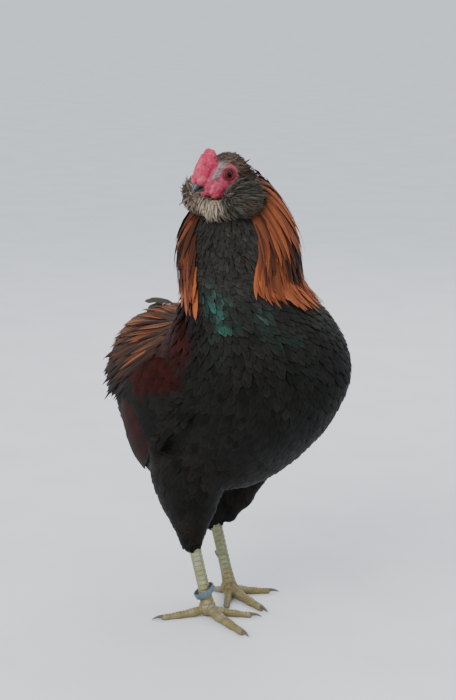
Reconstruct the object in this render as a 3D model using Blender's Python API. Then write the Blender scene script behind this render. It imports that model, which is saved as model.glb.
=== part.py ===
"""A life-size standing Araucana cock: rumpless, bearded and muffed, with a pea comb.

The bird faces -Y, its left side is on +X, and it stands on the floor at z = 0. In the tables below
"ahead" is the distance in front of the middle of the feet, so a point lies at y = -ahead. Its head is
turned to its right, and its right foot stands ahead of its left one. All sizes are in metres.
"""

import math
import random

import bmesh
import bpy
from mathutils import Matrix, Vector

# General sizes
GAP = 0.0003
SEED = 7
BEARD_SEED = 3

# The body from rump to head, one row a ring: the back's place ahead and height, the belly's place
# ahead and height, half the width, the shift to the left, the turn to the left in degrees, how
# square the ring is (2 is an ellipse), and how much narrower it is at the belly.
BODY_RINGS = (
    (-0.134, 0.268, -0.138, 0.240, 0.014, 0.000, 0, 2.0, 0.0),
    (-0.117, 0.296, -0.132, 0.200, 0.049, 0.000, 0, 2.2, 0.0),
    (-0.088, 0.306, -0.118, 0.166, 0.067, 0.000, 0, 2.2, 0.0),
    (-0.048, 0.309, -0.088, 0.142, 0.079, 0.000, 0, 2.2, 0.06),
    (-0.030, 0.313, -0.044, 0.130, 0.083, 0.000, 0, 2.2, 0.12),
    (-0.020, 0.318, 0.000, 0.128, 0.085, 0.000, 0, 2.2, 0.16),
    (-0.014, 0.324, 0.044, 0.144, 0.088, 0.000, 0, 2.2, 0.16),
    (-0.012, 0.329, 0.086, 0.176, 0.090, 0.000, 0, 2.3, 0.14),
    (-0.013, 0.334, 0.119, 0.211, 0.091, 0.000, 0, 2.3, 0.10),
    (-0.015, 0.340, 0.136, 0.252, 0.090, 0.000, 0, 2.3, 0.04),
    (-0.018, 0.347, 0.124, 0.294, 0.077, -0.001, -6, 2.2, 0.0),
    (-0.022, 0.358, 0.100, 0.326, 0.064, -0.006, -16, 2.1, 0.0),
    (-0.026, 0.376, 0.088, 0.348, 0.057, -0.009, -30, 2.0, 0.0),
    (-0.023, 0.404, 0.076, 0.364, 0.057, -0.008, -44, 2.0, 0.0),
    (-0.017, 0.433, 0.060, 0.380, 0.052, -0.007, -57, 2.0, 0.0),
    (-0.013, 0.460, 0.044, 0.398, 0.038, -0.006, -71, 2.0, 0.0),
    (-0.008, 0.471, 0.024, 0.420, 0.018, -0.010, -84, 2.0, 0.0),
)
RUMP_END = 4
NECK_START = 10
NECK_END = 15
NAPE_END = 16
BODY_SIDES = 24

# Feathers and locks: how wide they are along their length, as shares of their length and half width
HACKLE_SHAPE = ((0.0, 0.55), (0.28, 0.95), (0.65, 0.92), (1.0, 0.14))
QUILL_SHAPE = ((0.0, 0.6), (0.35, 1.0), (0.88, 0.9), (1.0, 0.3))
COVERT_SHAPE = ((0.0, 0.7), (0.5, 1.0), (1.0, 0.5))
LOCK_SHAPE = ((0.0, 0.9), (0.5, 1.0), (1.0, 0.12))
VANE_THICK = 0.0006
LOCK_THICK = 0.0013
ROOT_DEPTH = 0.003
ROOT_RUN = 0.009
ROOT_CLEAR = 0.0006

# The cape of hackles round the neck: each row's ring, its length and its count
CAPE_ROWS = ((12.1, 0.046, 8), (13.0, 0.056, 8), (13.8, 0.066, 7), (14.4, 0.070, 6))
CAPE_SPAN = math.radians(126)
CAPE_HALF_WIDE = 0.0090
CAPE_RISE = 0.075
CAPE_LIFT = 0.0055

# The saddle over the rump: each row's ring, its span to each side in degrees, its length and count
SADDLE_ROWS = ((3.6, 46, 0.056, 5), (2.9, 55, 0.066, 6), (2.3, 72, 0.078, 6), (1.6, 90, 0.072, 7))
SADDLE_HALF_WIDE = 0.0085
SADDLE_SPREAD = 0.55
SADDLE_CLEAR = 0.008
SADDLE_RISE = 0.19

# The head, in its own frame: x to its left, -y ahead, z up
HEAD_AT = Vector((-0.0198, -0.0139, 0.4561))
HEAD_TURN = math.radians(-90)
HEAD_DIP = math.radians(10)
SKULL_RINGS = (
    (-0.027, 0.002, -0.027, -0.008, 0.0060, 0, 0, 2.0, 0),
    (-0.022, 0.016, -0.022, -0.018, 0.0150, 0, 0, 2.0, 0),
    (-0.010, 0.021, -0.012, -0.022, 0.0170, 0, 0, 2.1, 0),
    (0.002, 0.020, 0.000, -0.022, 0.0165, 0, 0, 2.1, 0),
    (0.012, 0.016, 0.010, -0.019, 0.0135, 0, 0, 2.0, 0),
    (0.020, 0.010, 0.018, -0.015, 0.0100, 0, 0, 2.0, 0),
    (0.026, 0.005, 0.024, -0.012, 0.0075, 0, 0, 2.0, 0),
)
UPPER_BEAK_RINGS = (
    (0.0180, 0.0070, 0.0160, -0.0030, 0.0080, 0, 0, 2.0, 0),
    (0.0270, 0.0050, 0.0250, -0.0042, 0.0062, 0, 0, 2.0, 0),
    (0.0340, 0.0010, 0.0310, -0.0050, 0.0042, 0, 0, 2.0, 0),
    (0.0390, -0.0050, 0.0360, -0.0075, 0.0022, 0, 0, 2.0, 0),
    (0.0405, -0.0105, 0.0395, -0.0110, 0.0006, 0, 0, 2.0, 0),
)
LOWER_BEAK_RINGS = (
    (0.0160, -0.0036, 0.0160, -0.0100, 0.0070, 0, 0, 2.0, 0),
    (0.0260, -0.0048, 0.0250, -0.0095, 0.0052, 0, 0, 2.0, 0),
    (0.0330, -0.0062, 0.0320, -0.0090, 0.0030, 0, 0, 2.0, 0),
    (0.0365, -0.0078, 0.0360, -0.0090, 0.0008, 0, 0, 2.0, 0),
)
HEAD_SIDES = 18
BEAK_SIDES = 12
BEAK_STEPS = 7
EYE_SIDE = 0.0118
EYE_AHEAD = 0.0010
EYE_UP = 0.0040
EYE_RADIUS = 0.0060
LID_OUT = 0.0036
LID_RADIUS = 0.0052
LID_THICK = 0.0014
NOSTRIL_AT = (0.0048, 0.0262, 0.0020)
NOSTRIL_SIZE = (0.0016, 0.0022, 0.0010)
MUFF_AT = (0.0270, -0.003, -0.0205)
MUFF_SIZE = (0.0190, 0.0215, 0.0185)
MUFF_LOCKS = 22
BEARD_AT = (0.0, 0.012, -0.029)
BEARD_SIZE = (0.0185, 0.0130, 0.0120)
BEARD_LOCKS = 16
BEARD_HALF = 0.0160
LOCK_HALF_WIDE = 0.0045
LOCK_LENGTH = 0.021
LOCK_RISE = 0.16
# The lobes of a wattle and of the comb: place to the side, ahead and up, then half sizes
WATTLE_LOBES = (
    (0.0092, 0.0170, -0.0150, 0.0034, 0.0070, 0.0070), (0.0096, 0.0160, -0.0198, 0.0030, 0.0055, 0.0055),
)
COMB_LOBES = (
    (0.0, 0.0290, 0.0075, 0.0038, 0.0045, 0.0060), (0.0, 0.0238, 0.0137, 0.0046, 0.0050, 0.0078),
    (0.0, 0.0172, 0.0193, 0.0052, 0.0054, 0.0090), (0.0, 0.0098, 0.0224, 0.0052, 0.0052, 0.0093),
    (0.0056, 0.0215, 0.0112, 0.0034, 0.0054, 0.0068),
    (0.0056, 0.0130, 0.0165, 0.0034, 0.0052, 0.0076),
)

# The folded wings
SHOULDER_AHEAD = 0.058
SHOULDER_UP = 0.268
WING_SLOPE = math.radians(38)
WING_LENGTH = 0.190
WING_UPPER = 0.048
WING_LOWER = 0.042
FLANK_AHEAD = 0.018
FLANK_UP = 0.225
FLANK_SIZE = (0.0945, 0.145, 0.125)
FLANK_POWER = 2.1
WING_DEPTH = 0.016
PAD_END = 0.112
# The tiers of wing feathers: root and tip along the wing, lowest and highest place across it, half
# width, count, lift at root, middle and tip
WING_TIERS = {
    "primaries": (0.088, 0.186, -0.036, -0.024, 0.0064, 4, (-0.006, -0.0045, -0.003, -0.003)),
    "secondaries": (0.058, 0.160, -0.034, 0.041, 0.0092, 7, (-0.003, -0.0005, 0.001, 0.001)),
    "greater": (0.036, 0.094, -0.031, 0.040, 0.0092, 7, (-0.003, 0.0022, 0.0044)),
    "median": (0.016, 0.062, -0.022, 0.036, 0.0090, 5, (-0.003, 0.0040, 0.0066)),
}
WING_TILT = 0.11
EDGE_SHARE = 0.86

# The legs, one row a ring: height, the ring's middle from the hock to the left and ahead, and the
# half width and half depth. The right leg is the one in the table.
THIGH_RINGS = (
    (0.062, 0.0005, 0.000, 0.0085, 0.0096),
    (0.075, -0.0006, 0.000, 0.0116, 0.0136),
    (0.095, -0.0026, 0.001, 0.0182, 0.0218),
    (0.120, -0.0060, 0.003, 0.0275, 0.0350),
    (0.150, -0.0095, 0.006, 0.0340, 0.0450),
    (0.180, -0.0100, 0.008, 0.0350, 0.0500),
)
THIGH_SIDES = 14
HOCKS = {"right": Vector((-0.040, 0.010, 0.084)), "left": Vector((0.022, 0.054, 0.086))}
ANKLES = {"right": Vector((-0.0355, -0.011, 0.013)), "left": Vector((0.020, 0.023, 0.013))}
SHANK_HALF_WIDE = 0.0060
SHANK_HALF_DEEP = 0.0070
SHANK_SCUTES = 8
SHANK_SIDES = 8
SCUTE_RISE = 0.0008
TOE_SIDES = 6
TOE_SCUTES = 4
# Each toe: its name, length, thickness at its root, and its turn from straight ahead to the left
TOES = {
    "right": (("middle", 0.066, 0.0058, -5), ("outer", 0.048, 0.0050, -112), ("inner", 0.045, 0.0050, 44),
              ("hind", 0.022, 0.0042, 150)),
    "left": (("middle", 0.060, 0.0058, -4), ("outer", 0.042, 0.0050, 56), ("inner", 0.042, 0.0050, -42),
             ("hind", 0.022, 0.0042, 200)),
}
CLAW_LENGTH = 0.012
SPUR_LENGTH = 0.010
SPUR_ROOT = 0.004
RING_PLACE = 0.82
RING_INNER = 0.0103
RING_OUTER = 0.0117
RING_HEIGHT = 0.0060
RING_TILT = math.radians(22)
RING_SIDES = 24


def row_between(rows, t):
    """The values between the rows of a table, on a smooth curve through them."""
    index = min(max(int(math.floor(t)), 0), len(rows) - 2)
    s = t - index
    before = rows[max(index - 1, 0)]
    after = rows[min(index + 2, len(rows) - 1)]
    values = []
    for a, b, c, d in zip(before, rows[index], rows[index + 1], after):
        bend = (2 * a - 5 * b + 4 * c - d) * s * s + (3 * b - a - 3 * c + d) * s ** 3
        values.append(0.5 * (2 * b + (c - a) * s + bend))
    return values


class Loft:
    """A rounded body drawn through the rings of a table. Angle 0 is the back and 90 degrees the left."""

    def __init__(self, rings, place=None):
        self.rings = rings
        self.place = place or Matrix()

    def ring(self, t):
        back_f, back_z, belly_f, belly_z, half, shift, turn, power, keel = row_between(self.rings, t)
        yaw = math.radians(turn)
        ahead = Vector((math.sin(yaw), -math.cos(yaw), 0))
        left = Vector((math.cos(yaw), math.sin(yaw), 0))
        centre = Vector((shift, -(back_f + belly_f) / 2, (back_z + belly_z) / 2))
        up = ahead * ((back_f - belly_f) / 2) + Vector((0, 0, (back_z - belly_z) / 2))
        return centre, up, left * half, power, keel

    def spot(self, t, angle):
        centre, up, left, power, keel = self.ring(t)
        c = math.cos(angle)
        s = math.sin(angle)
        reach = (abs(c) ** power + abs(s) ** power) ** (-1 / power)
        return self.place @ (centre + up * (c * reach) + left * (s * reach * (1 + keel * c)))

    def slopes(self, t, angle):
        step = 0.002
        along = (self.spot(t + step, angle) - self.spot(t - step, angle)) / (2 * step)
        around = (self.spot(t, angle + step) - self.spot(t, angle - step)) / (2 * step)
        return along, around

    def normal(self, t, angle):
        along, around = self.slopes(t, angle)
        normal = around.cross(along).normalized()
        outward = self.spot(t, angle) - self.place @ self.ring(t)[0]
        return normal if normal.dot(outward) > 0 else -normal

    def point(self, t, angle, lift=0.0):
        if not lift:
            return self.spot(t, angle)
        return self.spot(t, angle) + self.normal(t, angle) * lift

    def axis(self, t):
        """The direction across a ring's flat face, towards the higher rings."""
        _, up, left, _, _ = self.ring(t)
        axis = up.cross(left).normalized()
        ahead = self.ring(t + 0.01)[0] - self.ring(t - 0.01)[0]
        if axis.dot(ahead) < 0:
            axis = -axis
        return self.place.to_3x3() @ axis


def solid(name, points, faces):
    """A mesh object in triangles, with its faces pointing out."""
    shape = bmesh.new()
    corners = [shape.verts.new(point) for point in points]
    for face in faces:
        shape.faces.new([corners[index] for index in face])
    bmesh.ops.recalc_face_normals(shape, faces=shape.faces[:])
    bmesh.ops.triangulate(shape, faces=shape.faces[:])
    mesh = bpy.data.meshes.new(name)
    shape.to_mesh(mesh)
    shape.free()
    thing = bpy.data.objects.new(name, mesh)
    bpy.context.scene.collection.objects.link(thing)
    return thing


def tube(name, rings):
    """A closed body through equal rings of corners, its two ends closed from their middles.

    A ring of four corners is a thin vane, whose first and third sides are split alike.
    """
    sides = len(rings[0])
    points = [corner for ring in rings for corner in ring]
    faces = []
    for level in range(len(rings) - 1):
        low = level * sides
        high = low + sides
        for side in range(sides):
            after = (side + 1) % sides
            if sides != 4 or side == 2:
                faces.append((low + side, low + after, high + side))
                faces.append((low + after, high + after, high + side))
            else:
                faces.append((low + side, low + after, high + after))
                faces.append((low + side, high + after, high + side))
    for level in (0, len(rings) - 1):
        if sides == 4:
            start = level * sides
            faces.append((start, start + 1, start + 2, start + 3))
            continue
        hub = len(points)
        points.append(sum(rings[level], Vector()) / sides)
        for side in range(sides):
            faces.append((hub, level * sides + side, level * sides + (side + 1) % sides))
    return solid(name, points, faces)


def loft_body(name, loft, places, sides, lift=0.0, insets=(0.0, 0.0)):
    """The part of a loft between two places, with flat ends set in from the first and last ring."""
    rings = []
    for t in places:
        rings.append([loft.point(t, math.tau * side / sides, lift) for side in range(sides)])
    for index, sign, inset in ((0, 1, insets[0]), (-1, -1, insets[1])):
        shift = loft.axis(places[index]) * (sign * inset)
        rings[index] = [corner + shift for corner in rings[index]]
    return tube(name, rings)


def spread(first, last, count):
    return [first + (last - first) * index / (count - 1) for index in range(count)]


def rising(path, slope):
    """Lifts along a path: the root is sunk, and the rest rises evenly with its distance."""
    lifts = []
    distance = 0.0
    for index, (point, _) in enumerate(path):
        if index:
            distance += (point - path[index - 1][0]).length
        if distance < ROOT_RUN:
            lifts.append(-ROOT_DEPTH + (ROOT_DEPTH + ROOT_CLEAR) * distance / ROOT_RUN)
        else:
            lifts.append(ROOT_CLEAR + slope * (distance - ROOT_RUN))
    return lifts


def vane(path, half_wide, shape, lifts, thick, tilt=0.0):
    """A thin tapered feather or lock along a path of points and normals, one pair a row of its shape.

    A tilt raises its lower edge, so that it lies over the next feather down.
    """
    rings = []
    for index, (point, normal) in enumerate(path):
        ahead = path[min(index + 1, len(path) - 1)][0] - path[max(index - 1, 0)][0]
        side = ahead.cross(normal).normalized()
        if side.z > 0:
            side = -side
        reach = half_wide * shape[index][1]
        middle = point + normal * lifts[index]
        over = normal * (thick * (1 - 0.25 * shape[index][0]) / 2)
        across = side * reach + normal * (reach * tilt)
        rings.append((middle - across + over, middle + across + over,
                      middle + across - over, middle - across - over))
    return tube("vane", rings)


def trail(loft, t, angle, heading, length, shares):
    """A path on a loft towards its lower rings, turned by a heading, as points and normals.

    Past the loft's end it runs on and bends down.
    """
    steps = 24
    stride = length / steps
    path = []
    point = loft.spot(t, angle)
    normal = loft.normal(t, angle)
    way = None
    for step in range(steps + 1):
        while len(path) < len(shares) and step >= shares[len(path)] * steps - 0.001:
            path.append((point.copy(), normal.copy()))
        if t > 0.35:
            along, around = loft.slopes(t, angle)
            normal = loft.normal(t, angle)
            down = -along.normalized()
            across = around - down * around.dot(down)
            way = down * math.cos(heading) + across.normalized() * math.sin(heading)
            square = along.dot(along)
            cross = along.dot(around)
            wide = around.dot(around)
            ahead = along.dot(way) * stride
            aside = around.dot(way) * stride
            whole = square * wide - cross * cross
            t += (ahead * wide - aside * cross) / whole
            angle += (square * aside - cross * ahead) / whole
            point = loft.spot(t, angle)
        else:
            way = (way + Vector((0, 0, -0.09))).normalized()
            normal = (normal - way * normal.dot(way)).normalized()
            point = point + way * stride
    return path


def body_rings(first, last):
    """The rings that every body piece and its cutters share, one for each row of the table."""
    return list(range(first, last + 1))


def egg(name, centre, size, place=None, rounds=3):
    """A closed oval body from a rounded ball."""
    shape = bmesh.new()
    bmesh.ops.create_icosphere(shape, subdivisions=rounds, radius=1.0)
    mesh = bpy.data.meshes.new(name)
    bmesh.ops.transform(shape, matrix=Matrix.Diagonal((*size, 1.0)), verts=shape.verts[:])
    bmesh.ops.translate(shape, vec=centre, verts=shape.verts[:])
    if place is not None:
        bmesh.ops.transform(shape, matrix=place, verts=shape.verts[:])
    shape.to_mesh(mesh)
    shape.free()
    thing = bpy.data.objects.new(name, mesh)
    bpy.context.scene.collection.objects.link(thing)
    return thing


def apply_modifiers(thing):
    graph = bpy.context.evaluated_depsgraph_get()
    made = bpy.data.meshes.new_from_object(thing.evaluated_get(graph))
    old = thing.data
    thing.modifiers.clear()
    thing.data = made
    bpy.data.meshes.remove(old)


def drop(things):
    for thing in things:
        mesh = thing.data
        bpy.data.objects.remove(thing)
        bpy.data.meshes.remove(mesh)


def combine(thing, others, operation):
    """Joins or cuts one object with a collection of others, which are then removed."""
    group = bpy.data.collections.new("others")
    bpy.context.scene.collection.children.link(group)
    for other in others:
        group.objects.link(other)
    step = thing.modifiers.new("combine", "BOOLEAN")
    step.operation = operation
    step.operand_type = "COLLECTION"
    step.collection = group
    step.solver = "MANIFOLD"
    apply_modifiers(thing)
    drop(others)
    bpy.data.collections.remove(group)
    keep_largest(thing)
    return thing


def joined(thing, others):
    return combine(thing, others, "UNION")


def carved(thing, cutters):
    return combine(thing, cutters, "DIFFERENCE")


def keep_largest(thing):
    """Leaves only the closed surface that holds the most volume."""
    shape = bmesh.new()
    shape.from_mesh(thing.data)
    seen = set()
    islands = []
    for start in shape.faces:
        if start in seen:
            continue
        island = [start]
        seen.add(start)
        for face in island:
            for edge in face.edges:
                for other in edge.link_faces:
                    if other not in seen:
                        seen.add(other)
                        island.append(other)
        islands.append(island)
    if len(islands) > 1:
        def volume(island):
            total = 0.0
            for face in island:
                corners = [loop.vert.co for loop in face.loops]
                for second, third in zip(corners[1:], corners[2:]):
                    total += corners[0].dot(second.cross(third)) / 6
            return abs(total)
        islands.sort(key=volume, reverse=True)
        extra = [face for island in islands[1:] for face in island]
        bmesh.ops.delete(shape, geom=extra, context="FACES")
        loose = [vert for vert in shape.verts if not vert.link_faces]
        bmesh.ops.delete(shape, geom=loose, context="VERTS")
    shape.to_mesh(thing.data)
    shape.free()


def finish(thing, name, colour, roughness, crease=40):
    """Names a piece, gives it a material of its own and shades it smooth."""
    thing.name = name
    thing.data.name = name
    material = bpy.data.materials.new(name)
    material.use_nodes = True
    shader = material.node_tree.nodes["Principled BSDF"]
    shader.inputs["Base Color"].default_value = (*colour, 1.0)
    shader.inputs["Roughness"].default_value = roughness
    material.diffuse_color = (*colour, 1.0)
    thing.data.materials.clear()
    thing.data.materials.append(material)
    thing.data.shade_smooth()
    thing.data.set_sharp_from_angle(angle=math.radians(crease))
    return thing


# Colours
BLACK = (0.012, 0.013, 0.012)
CHESTNUT = (0.42, 0.13, 0.03)
MAROON = (0.09, 0.02, 0.012)
SADDLE = (0.33, 0.10, 0.04)
GREY = (0.10, 0.10, 0.08)
BEIGE = (0.28, 0.23, 0.17)
RED = (0.52, 0.05, 0.09)
SLATE = (0.03, 0.035, 0.045)
IRIS = (0.25, 0.09, 0.03)
SHANK = (0.30, 0.33, 0.27)
FOOT = (0.30, 0.32, 0.20)
CLAW = (0.06, 0.055, 0.045)
RING_BLUE = (0.11, 0.17, 0.22)

BODY = Loft(BODY_RINGS)
HEAD_PLACE = (
    Matrix.Translation(HEAD_AT) @ Matrix.Rotation(HEAD_TURN, 4, "Z") @ Matrix.Rotation(HEAD_DIP, 4, "X")
)
SKULL = Loft(SKULL_RINGS, HEAD_PLACE)


def in_head(left, ahead, up):
    """A point given in the head's own frame, before the head is turned."""
    return Vector((left, -ahead, up))


def body_cutter(first, last, lift):
    return loft_body("cutter", BODY, body_rings(first, last), BODY_SIDES, lift, insets=(-GAP, -GAP))


def make_torso():
    places = body_rings(RUMP_END, NECK_START)
    torso = loft_body("torso", BODY, places, BODY_SIDES, insets=(GAP / 2, GAP / 2))
    finish(torso, "torso", BLACK, 0.6)


def over_wing(point):
    """How far a point lies above the upper edge of the folded wing, seen from the side."""
    ahead = -point.y - SHOULDER_AHEAD
    up = point.z - SHOULDER_UP
    along = -ahead * math.cos(WING_SLOPE) - up * math.sin(WING_SLOPE)
    across = -ahead * math.sin(WING_SLOPE) + up * math.cos(WING_SLOPE)
    return across - WING_UPPER if along < WING_LENGTH else 1.0


def make_rump():
    """The rear of the body with its saddle hackles in rows."""
    rump = loft_body("rump", BODY, body_rings(0, RUMP_END), BODY_SIDES, insets=(0.0, GAP / 2))
    shares = [share for share, _ in HACKLE_SHAPE]
    vanes = []
    for row, (t, span, length, count) in enumerate(SADDLE_ROWS):
        for index in range(count):
            place = (index - (count - 1) / 2) / ((count - 1) / 2)
            angle = math.radians(span) * place + random.uniform(-0.02, 0.02)
            heading = SADDLE_SPREAD * angle + random.uniform(-0.04, 0.04)
            reach = length * random.uniform(0.96, 1.04)
            path = trail(BODY, t, angle, heading, reach, shares)
            while reach > 0.02 and min(over_wing(point) for point, _ in path) < SADDLE_CLEAR:
                reach *= 0.92
                path = trail(BODY, t, angle, heading, reach, shares)
            vanes.append(vane(path, SADDLE_HALF_WIDE, HACKLE_SHAPE, rising(path, SADDLE_RISE), VANE_THICK))
    joined(rump, vanes)
    finish(rump, "rump", SADDLE, 0.6)


def make_neck():
    """The neck with its cape of hackles in rows, open over the throat."""
    places = body_rings(NECK_START, NECK_END)
    neck = loft_body("neck", BODY, places, BODY_SIDES, insets=(GAP / 2, GAP / 2))
    shares = [share for share, _ in HACKLE_SHAPE]
    vanes = []
    for row, (t, length, count) in enumerate(CAPE_ROWS):
        for index in range(count):
            place = (index + 0.25 + 0.5 * (row % 2)) / count * 2 - 1
            angle = CAPE_SPAN * place + random.uniform(-0.02, 0.02)
            reach = length * random.uniform(0.96, 1.04)
            path = trail(BODY, t, angle, random.uniform(-0.03, 0.03), reach, shares)
            vanes.append(vane(path, CAPE_HALF_WIDE, HACKLE_SHAPE, rising(path, CAPE_RISE), VANE_THICK))
    joined(neck, vanes)
    finish(neck, "neck", CHESTNUT, 0.6)


def make_head():
    """The skull with its lids and eye sockets, and the nape down to the neck's cut."""
    places = spread(0.0, len(SKULL_RINGS) - 1, 11)
    head = loft_body("head", SKULL, places, HEAD_SIDES)
    nape = loft_body("nape", BODY, body_rings(NECK_END, NAPE_END), BODY_SIDES, insets=(GAP / 2, 0.0))
    extras = [nape]
    sockets = []
    for side in (1, -1):
        lid = bmesh.new()
        ring = bmesh.ops.create_circle(lid, segments=5, radius=LID_THICK)["verts"]
        bmesh.ops.rotate(lid, verts=ring, cent=(0, 0, 0), matrix=Matrix.Rotation(math.pi / 2, 3, "X"))
        bmesh.ops.translate(lid, verts=ring, vec=(LID_RADIUS, 0, 0))
        bmesh.ops.spin(
            lid, geom=lid.edges[:], cent=(0, 0, 0), axis=(0, 0, 1), angle=math.tau, steps=12,
            use_merge=True,
        )
        turn = Matrix.Rotation(math.pi / 2, 4, "Y")
        centre = in_head(side * (EYE_SIDE + LID_OUT), EYE_AHEAD, EYE_UP)
        bmesh.ops.transform(lid, matrix=HEAD_PLACE @ Matrix.Translation(centre) @ turn, verts=lid.verts[:])
        bmesh.ops.recalc_face_normals(lid, faces=lid.faces[:])
        bmesh.ops.triangulate(lid, faces=lid.faces[:])
        mesh = bpy.data.meshes.new("lid")
        lid.to_mesh(mesh)
        lid.free()
        thing = bpy.data.objects.new("lid", mesh)
        bpy.context.scene.collection.objects.link(thing)
        extras.append(thing)
        reach = EYE_RADIUS + GAP
        sockets.append(egg("socket", in_head(side * EYE_SIDE, EYE_AHEAD, EYE_UP), (reach,) * 3, HEAD_PLACE))
    joined(head, extras)
    carved(head, sockets)
    finish(head, "head", GREY, 0.7)


def skull_cutter():
    places = spread(0.0, len(SKULL_RINGS) - 1, 11)
    return loft_body("cutter", SKULL, places, HEAD_SIDES, GAP)


def make_beak():
    for name, rings in (("beak_upper", UPPER_BEAK_RINGS), ("beak_lower", LOWER_BEAK_RINGS)):
        loft = Loft(rings, HEAD_PLACE)
        beak = loft_body(name, loft, spread(0.0, len(rings) - 1, BEAK_STEPS), BEAK_SIDES)
        cutters = [skull_cutter()]
        if name == "beak_upper":
            for side in (1, -1):
                spot = in_head(side * NOSTRIL_AT[0], NOSTRIL_AT[1], NOSTRIL_AT[2])
                cutters.append(egg("nostril", spot, NOSTRIL_SIZE, HEAD_PLACE, 1))
        else:
            cutters.append(beak_cutter(UPPER_BEAK_RINGS))
        carved(beak, cutters)
        finish(beak, name, SLATE, 0.35)


def make_eyes():
    for side, name in ((1, "eye_left"), (-1, "eye_right")):
        eye = egg(name, in_head(side * EYE_SIDE, EYE_AHEAD, EYE_UP), (EYE_RADIUS,) * 3, HEAD_PLACE)
        finish(eye, name, IRIS, 0.1)


def make_comb():
    """The pea comb: a row of tall bulbs from the beak to the crown, with a lower row on each side."""
    lobes = []
    for left, ahead, up, wide, long, tall in COMB_LOBES:
        for side in (1, -1) if left else (0,):
            lobes.append(egg("lobe", in_head(side * left, ahead, up), (wide, long, tall), HEAD_PLACE, 2))
    comb = joined(lobes[0], lobes[1:])
    carved(comb, [skull_cutter(), beak_cutter(UPPER_BEAK_RINGS)])
    finish(comb, "comb", RED, 0.5)


def wattle_lobes(side, swell=0.0):
    lobes = []
    for left, ahead, up, wide, long, tall in WATTLE_LOBES:
        size = (wide + swell, long + swell, tall + swell)
        lobes.append(egg("lobe", in_head(side * left, ahead, up), size, HEAD_PLACE, 2))
    return lobes


def make_wattles():
    for side, name in ((1, "wattle_left"), (-1, "wattle_right")):
        lobes = wattle_lobes(side)
        wattle = joined(lobes[0], lobes[1:])
        carved(wattle, [skull_cutter(), beak_cutter(LOWER_BEAK_RINGS), beak_cutter(UPPER_BEAK_RINGS)])
        finish(wattle, name, RED, 0.5)


def beak_cutter(rings):
    loft = Loft(rings, HEAD_PLACE)
    return loft_body("cutter", loft, spread(0.0, len(rings) - 1, BEAK_STEPS), BEAK_SIDES, GAP)


def block(name, low, high, place):
    """A box between two corners, given in a frame of its own."""
    shape = bmesh.new()
    bmesh.ops.create_cube(shape, size=1.0)
    size = Vector(high) - Vector(low)
    middle = (Vector(high) + Vector(low)) / 2
    bmesh.ops.transform(shape, matrix=Matrix.Diagonal((*size, 1.0)), verts=shape.verts[:])
    bmesh.ops.transform(shape, matrix=place @ Matrix.Translation(middle), verts=shape.verts[:])
    bmesh.ops.triangulate(shape, faces=shape.faces[:])
    mesh = bpy.data.meshes.new(name)
    shape.to_mesh(mesh)
    shape.free()
    thing = bpy.data.objects.new(name, mesh)
    bpy.context.scene.collection.objects.link(thing)
    return thing


def face_cutters():
    """What the muffs and the beard keep clear of, each swollen by the gap."""
    cutters = [skull_cutter(), beak_cutter(LOWER_BEAK_RINGS), beak_cutter(UPPER_BEAK_RINGS)]
    cutters.append(body_cutter(NECK_START, NECK_END, CAPE_LIFT))
    cutters.append(body_cutter(NECK_END, NAPE_END, GAP))
    for side in (1, -1):
        cutters.extend(wattle_lobes(side, GAP))
        socket = EYE_RADIUS + LID_THICK + GAP
        eye = in_head(side * EYE_SIDE, EYE_AHEAD, EYE_UP)
        cutters.append(egg("cutter", eye, (socket,) * 3, HEAD_PLACE))
    return cutters


def turned_out(way, normal):
    return (way - normal * way.dot(normal)).normalized()


def egg_locks(centre, size, count, flow, wanted):
    """Tapered locks on an egg in the head's frame, from evenly spread roots, along a field of ways."""
    locks = []
    shares = [share for share, _ in LOCK_SHAPE]
    turn = HEAD_PLACE.to_3x3()
    for index in range(count):
        height = 1 - 2 * (index + 0.5) / count
        angle = index * math.pi * (3 - math.sqrt(5))
        flat = math.sqrt(1 - height * height)
        unit = Vector((flat * math.cos(angle), height, flat * math.sin(angle)))
        if not wanted(unit):
            continue
        length = LOCK_LENGTH * random.uniform(0.9, 1.1)
        way = flow(unit) + Vector([random.uniform(-0.12, 0.12) for _ in range(3)])
        path = []
        steps = 12
        for step in range(steps + 1):
            spot = Vector((unit.x * size[0], unit.y * size[1], unit.z * size[2]))
            normal = Vector((unit.x / size[0], unit.y / size[1], unit.z / size[2])).normalized()
            while len(path) < len(shares) and step >= shares[len(path)] * steps - 0.001:
                path.append((HEAD_PLACE @ (centre + spot), turn @ normal))
            spot = spot + turned_out(way, normal) * (length / steps)
            unit = Vector((spot.x / size[0], spot.y / size[1], spot.z / size[2])).normalized()
        locks.append(vane(path, LOCK_HALF_WIDE, LOCK_SHAPE, rising(path, LOCK_RISE), LOCK_THICK))
    return locks


def muff_flow(unit, side):
    """Locks on the upper cheek run back and out, and those on the lower cheek hang down and back."""
    high = max(unit.z, 0.0)
    return Vector((side * 0.45, 0.75 + 0.3 * high, -0.55 + 1.0 * high))


def make_muffs():
    """The muffs on the cheeks: an inner ball with locks that end the cheek's outline."""
    for side, name in ((1, "muff_left"), (-1, "muff_right")):
        centre = in_head(side * MUFF_AT[0], MUFF_AT[1], MUFF_AT[2])
        muff = egg(name, centre, MUFF_SIZE, HEAD_PLACE, 2)
        joined(muff, egg_locks(
            centre, MUFF_SIZE, MUFF_LOCKS, lambda unit: muff_flow(unit, side),
            lambda unit: unit.x * side > -0.25 and unit.y < 0.75,
        ))
        reach = 0.1
        edge = BEARD_HALF + GAP / 2
        low = (-reach if side > 0 else -edge, -reach, -reach)
        high = (edge if side > 0 else reach, reach, reach)
        carved(muff, face_cutters() + [block("cutter", low, high, HEAD_PLACE)])
        finish(muff, name, GREY, 0.8)


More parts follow.
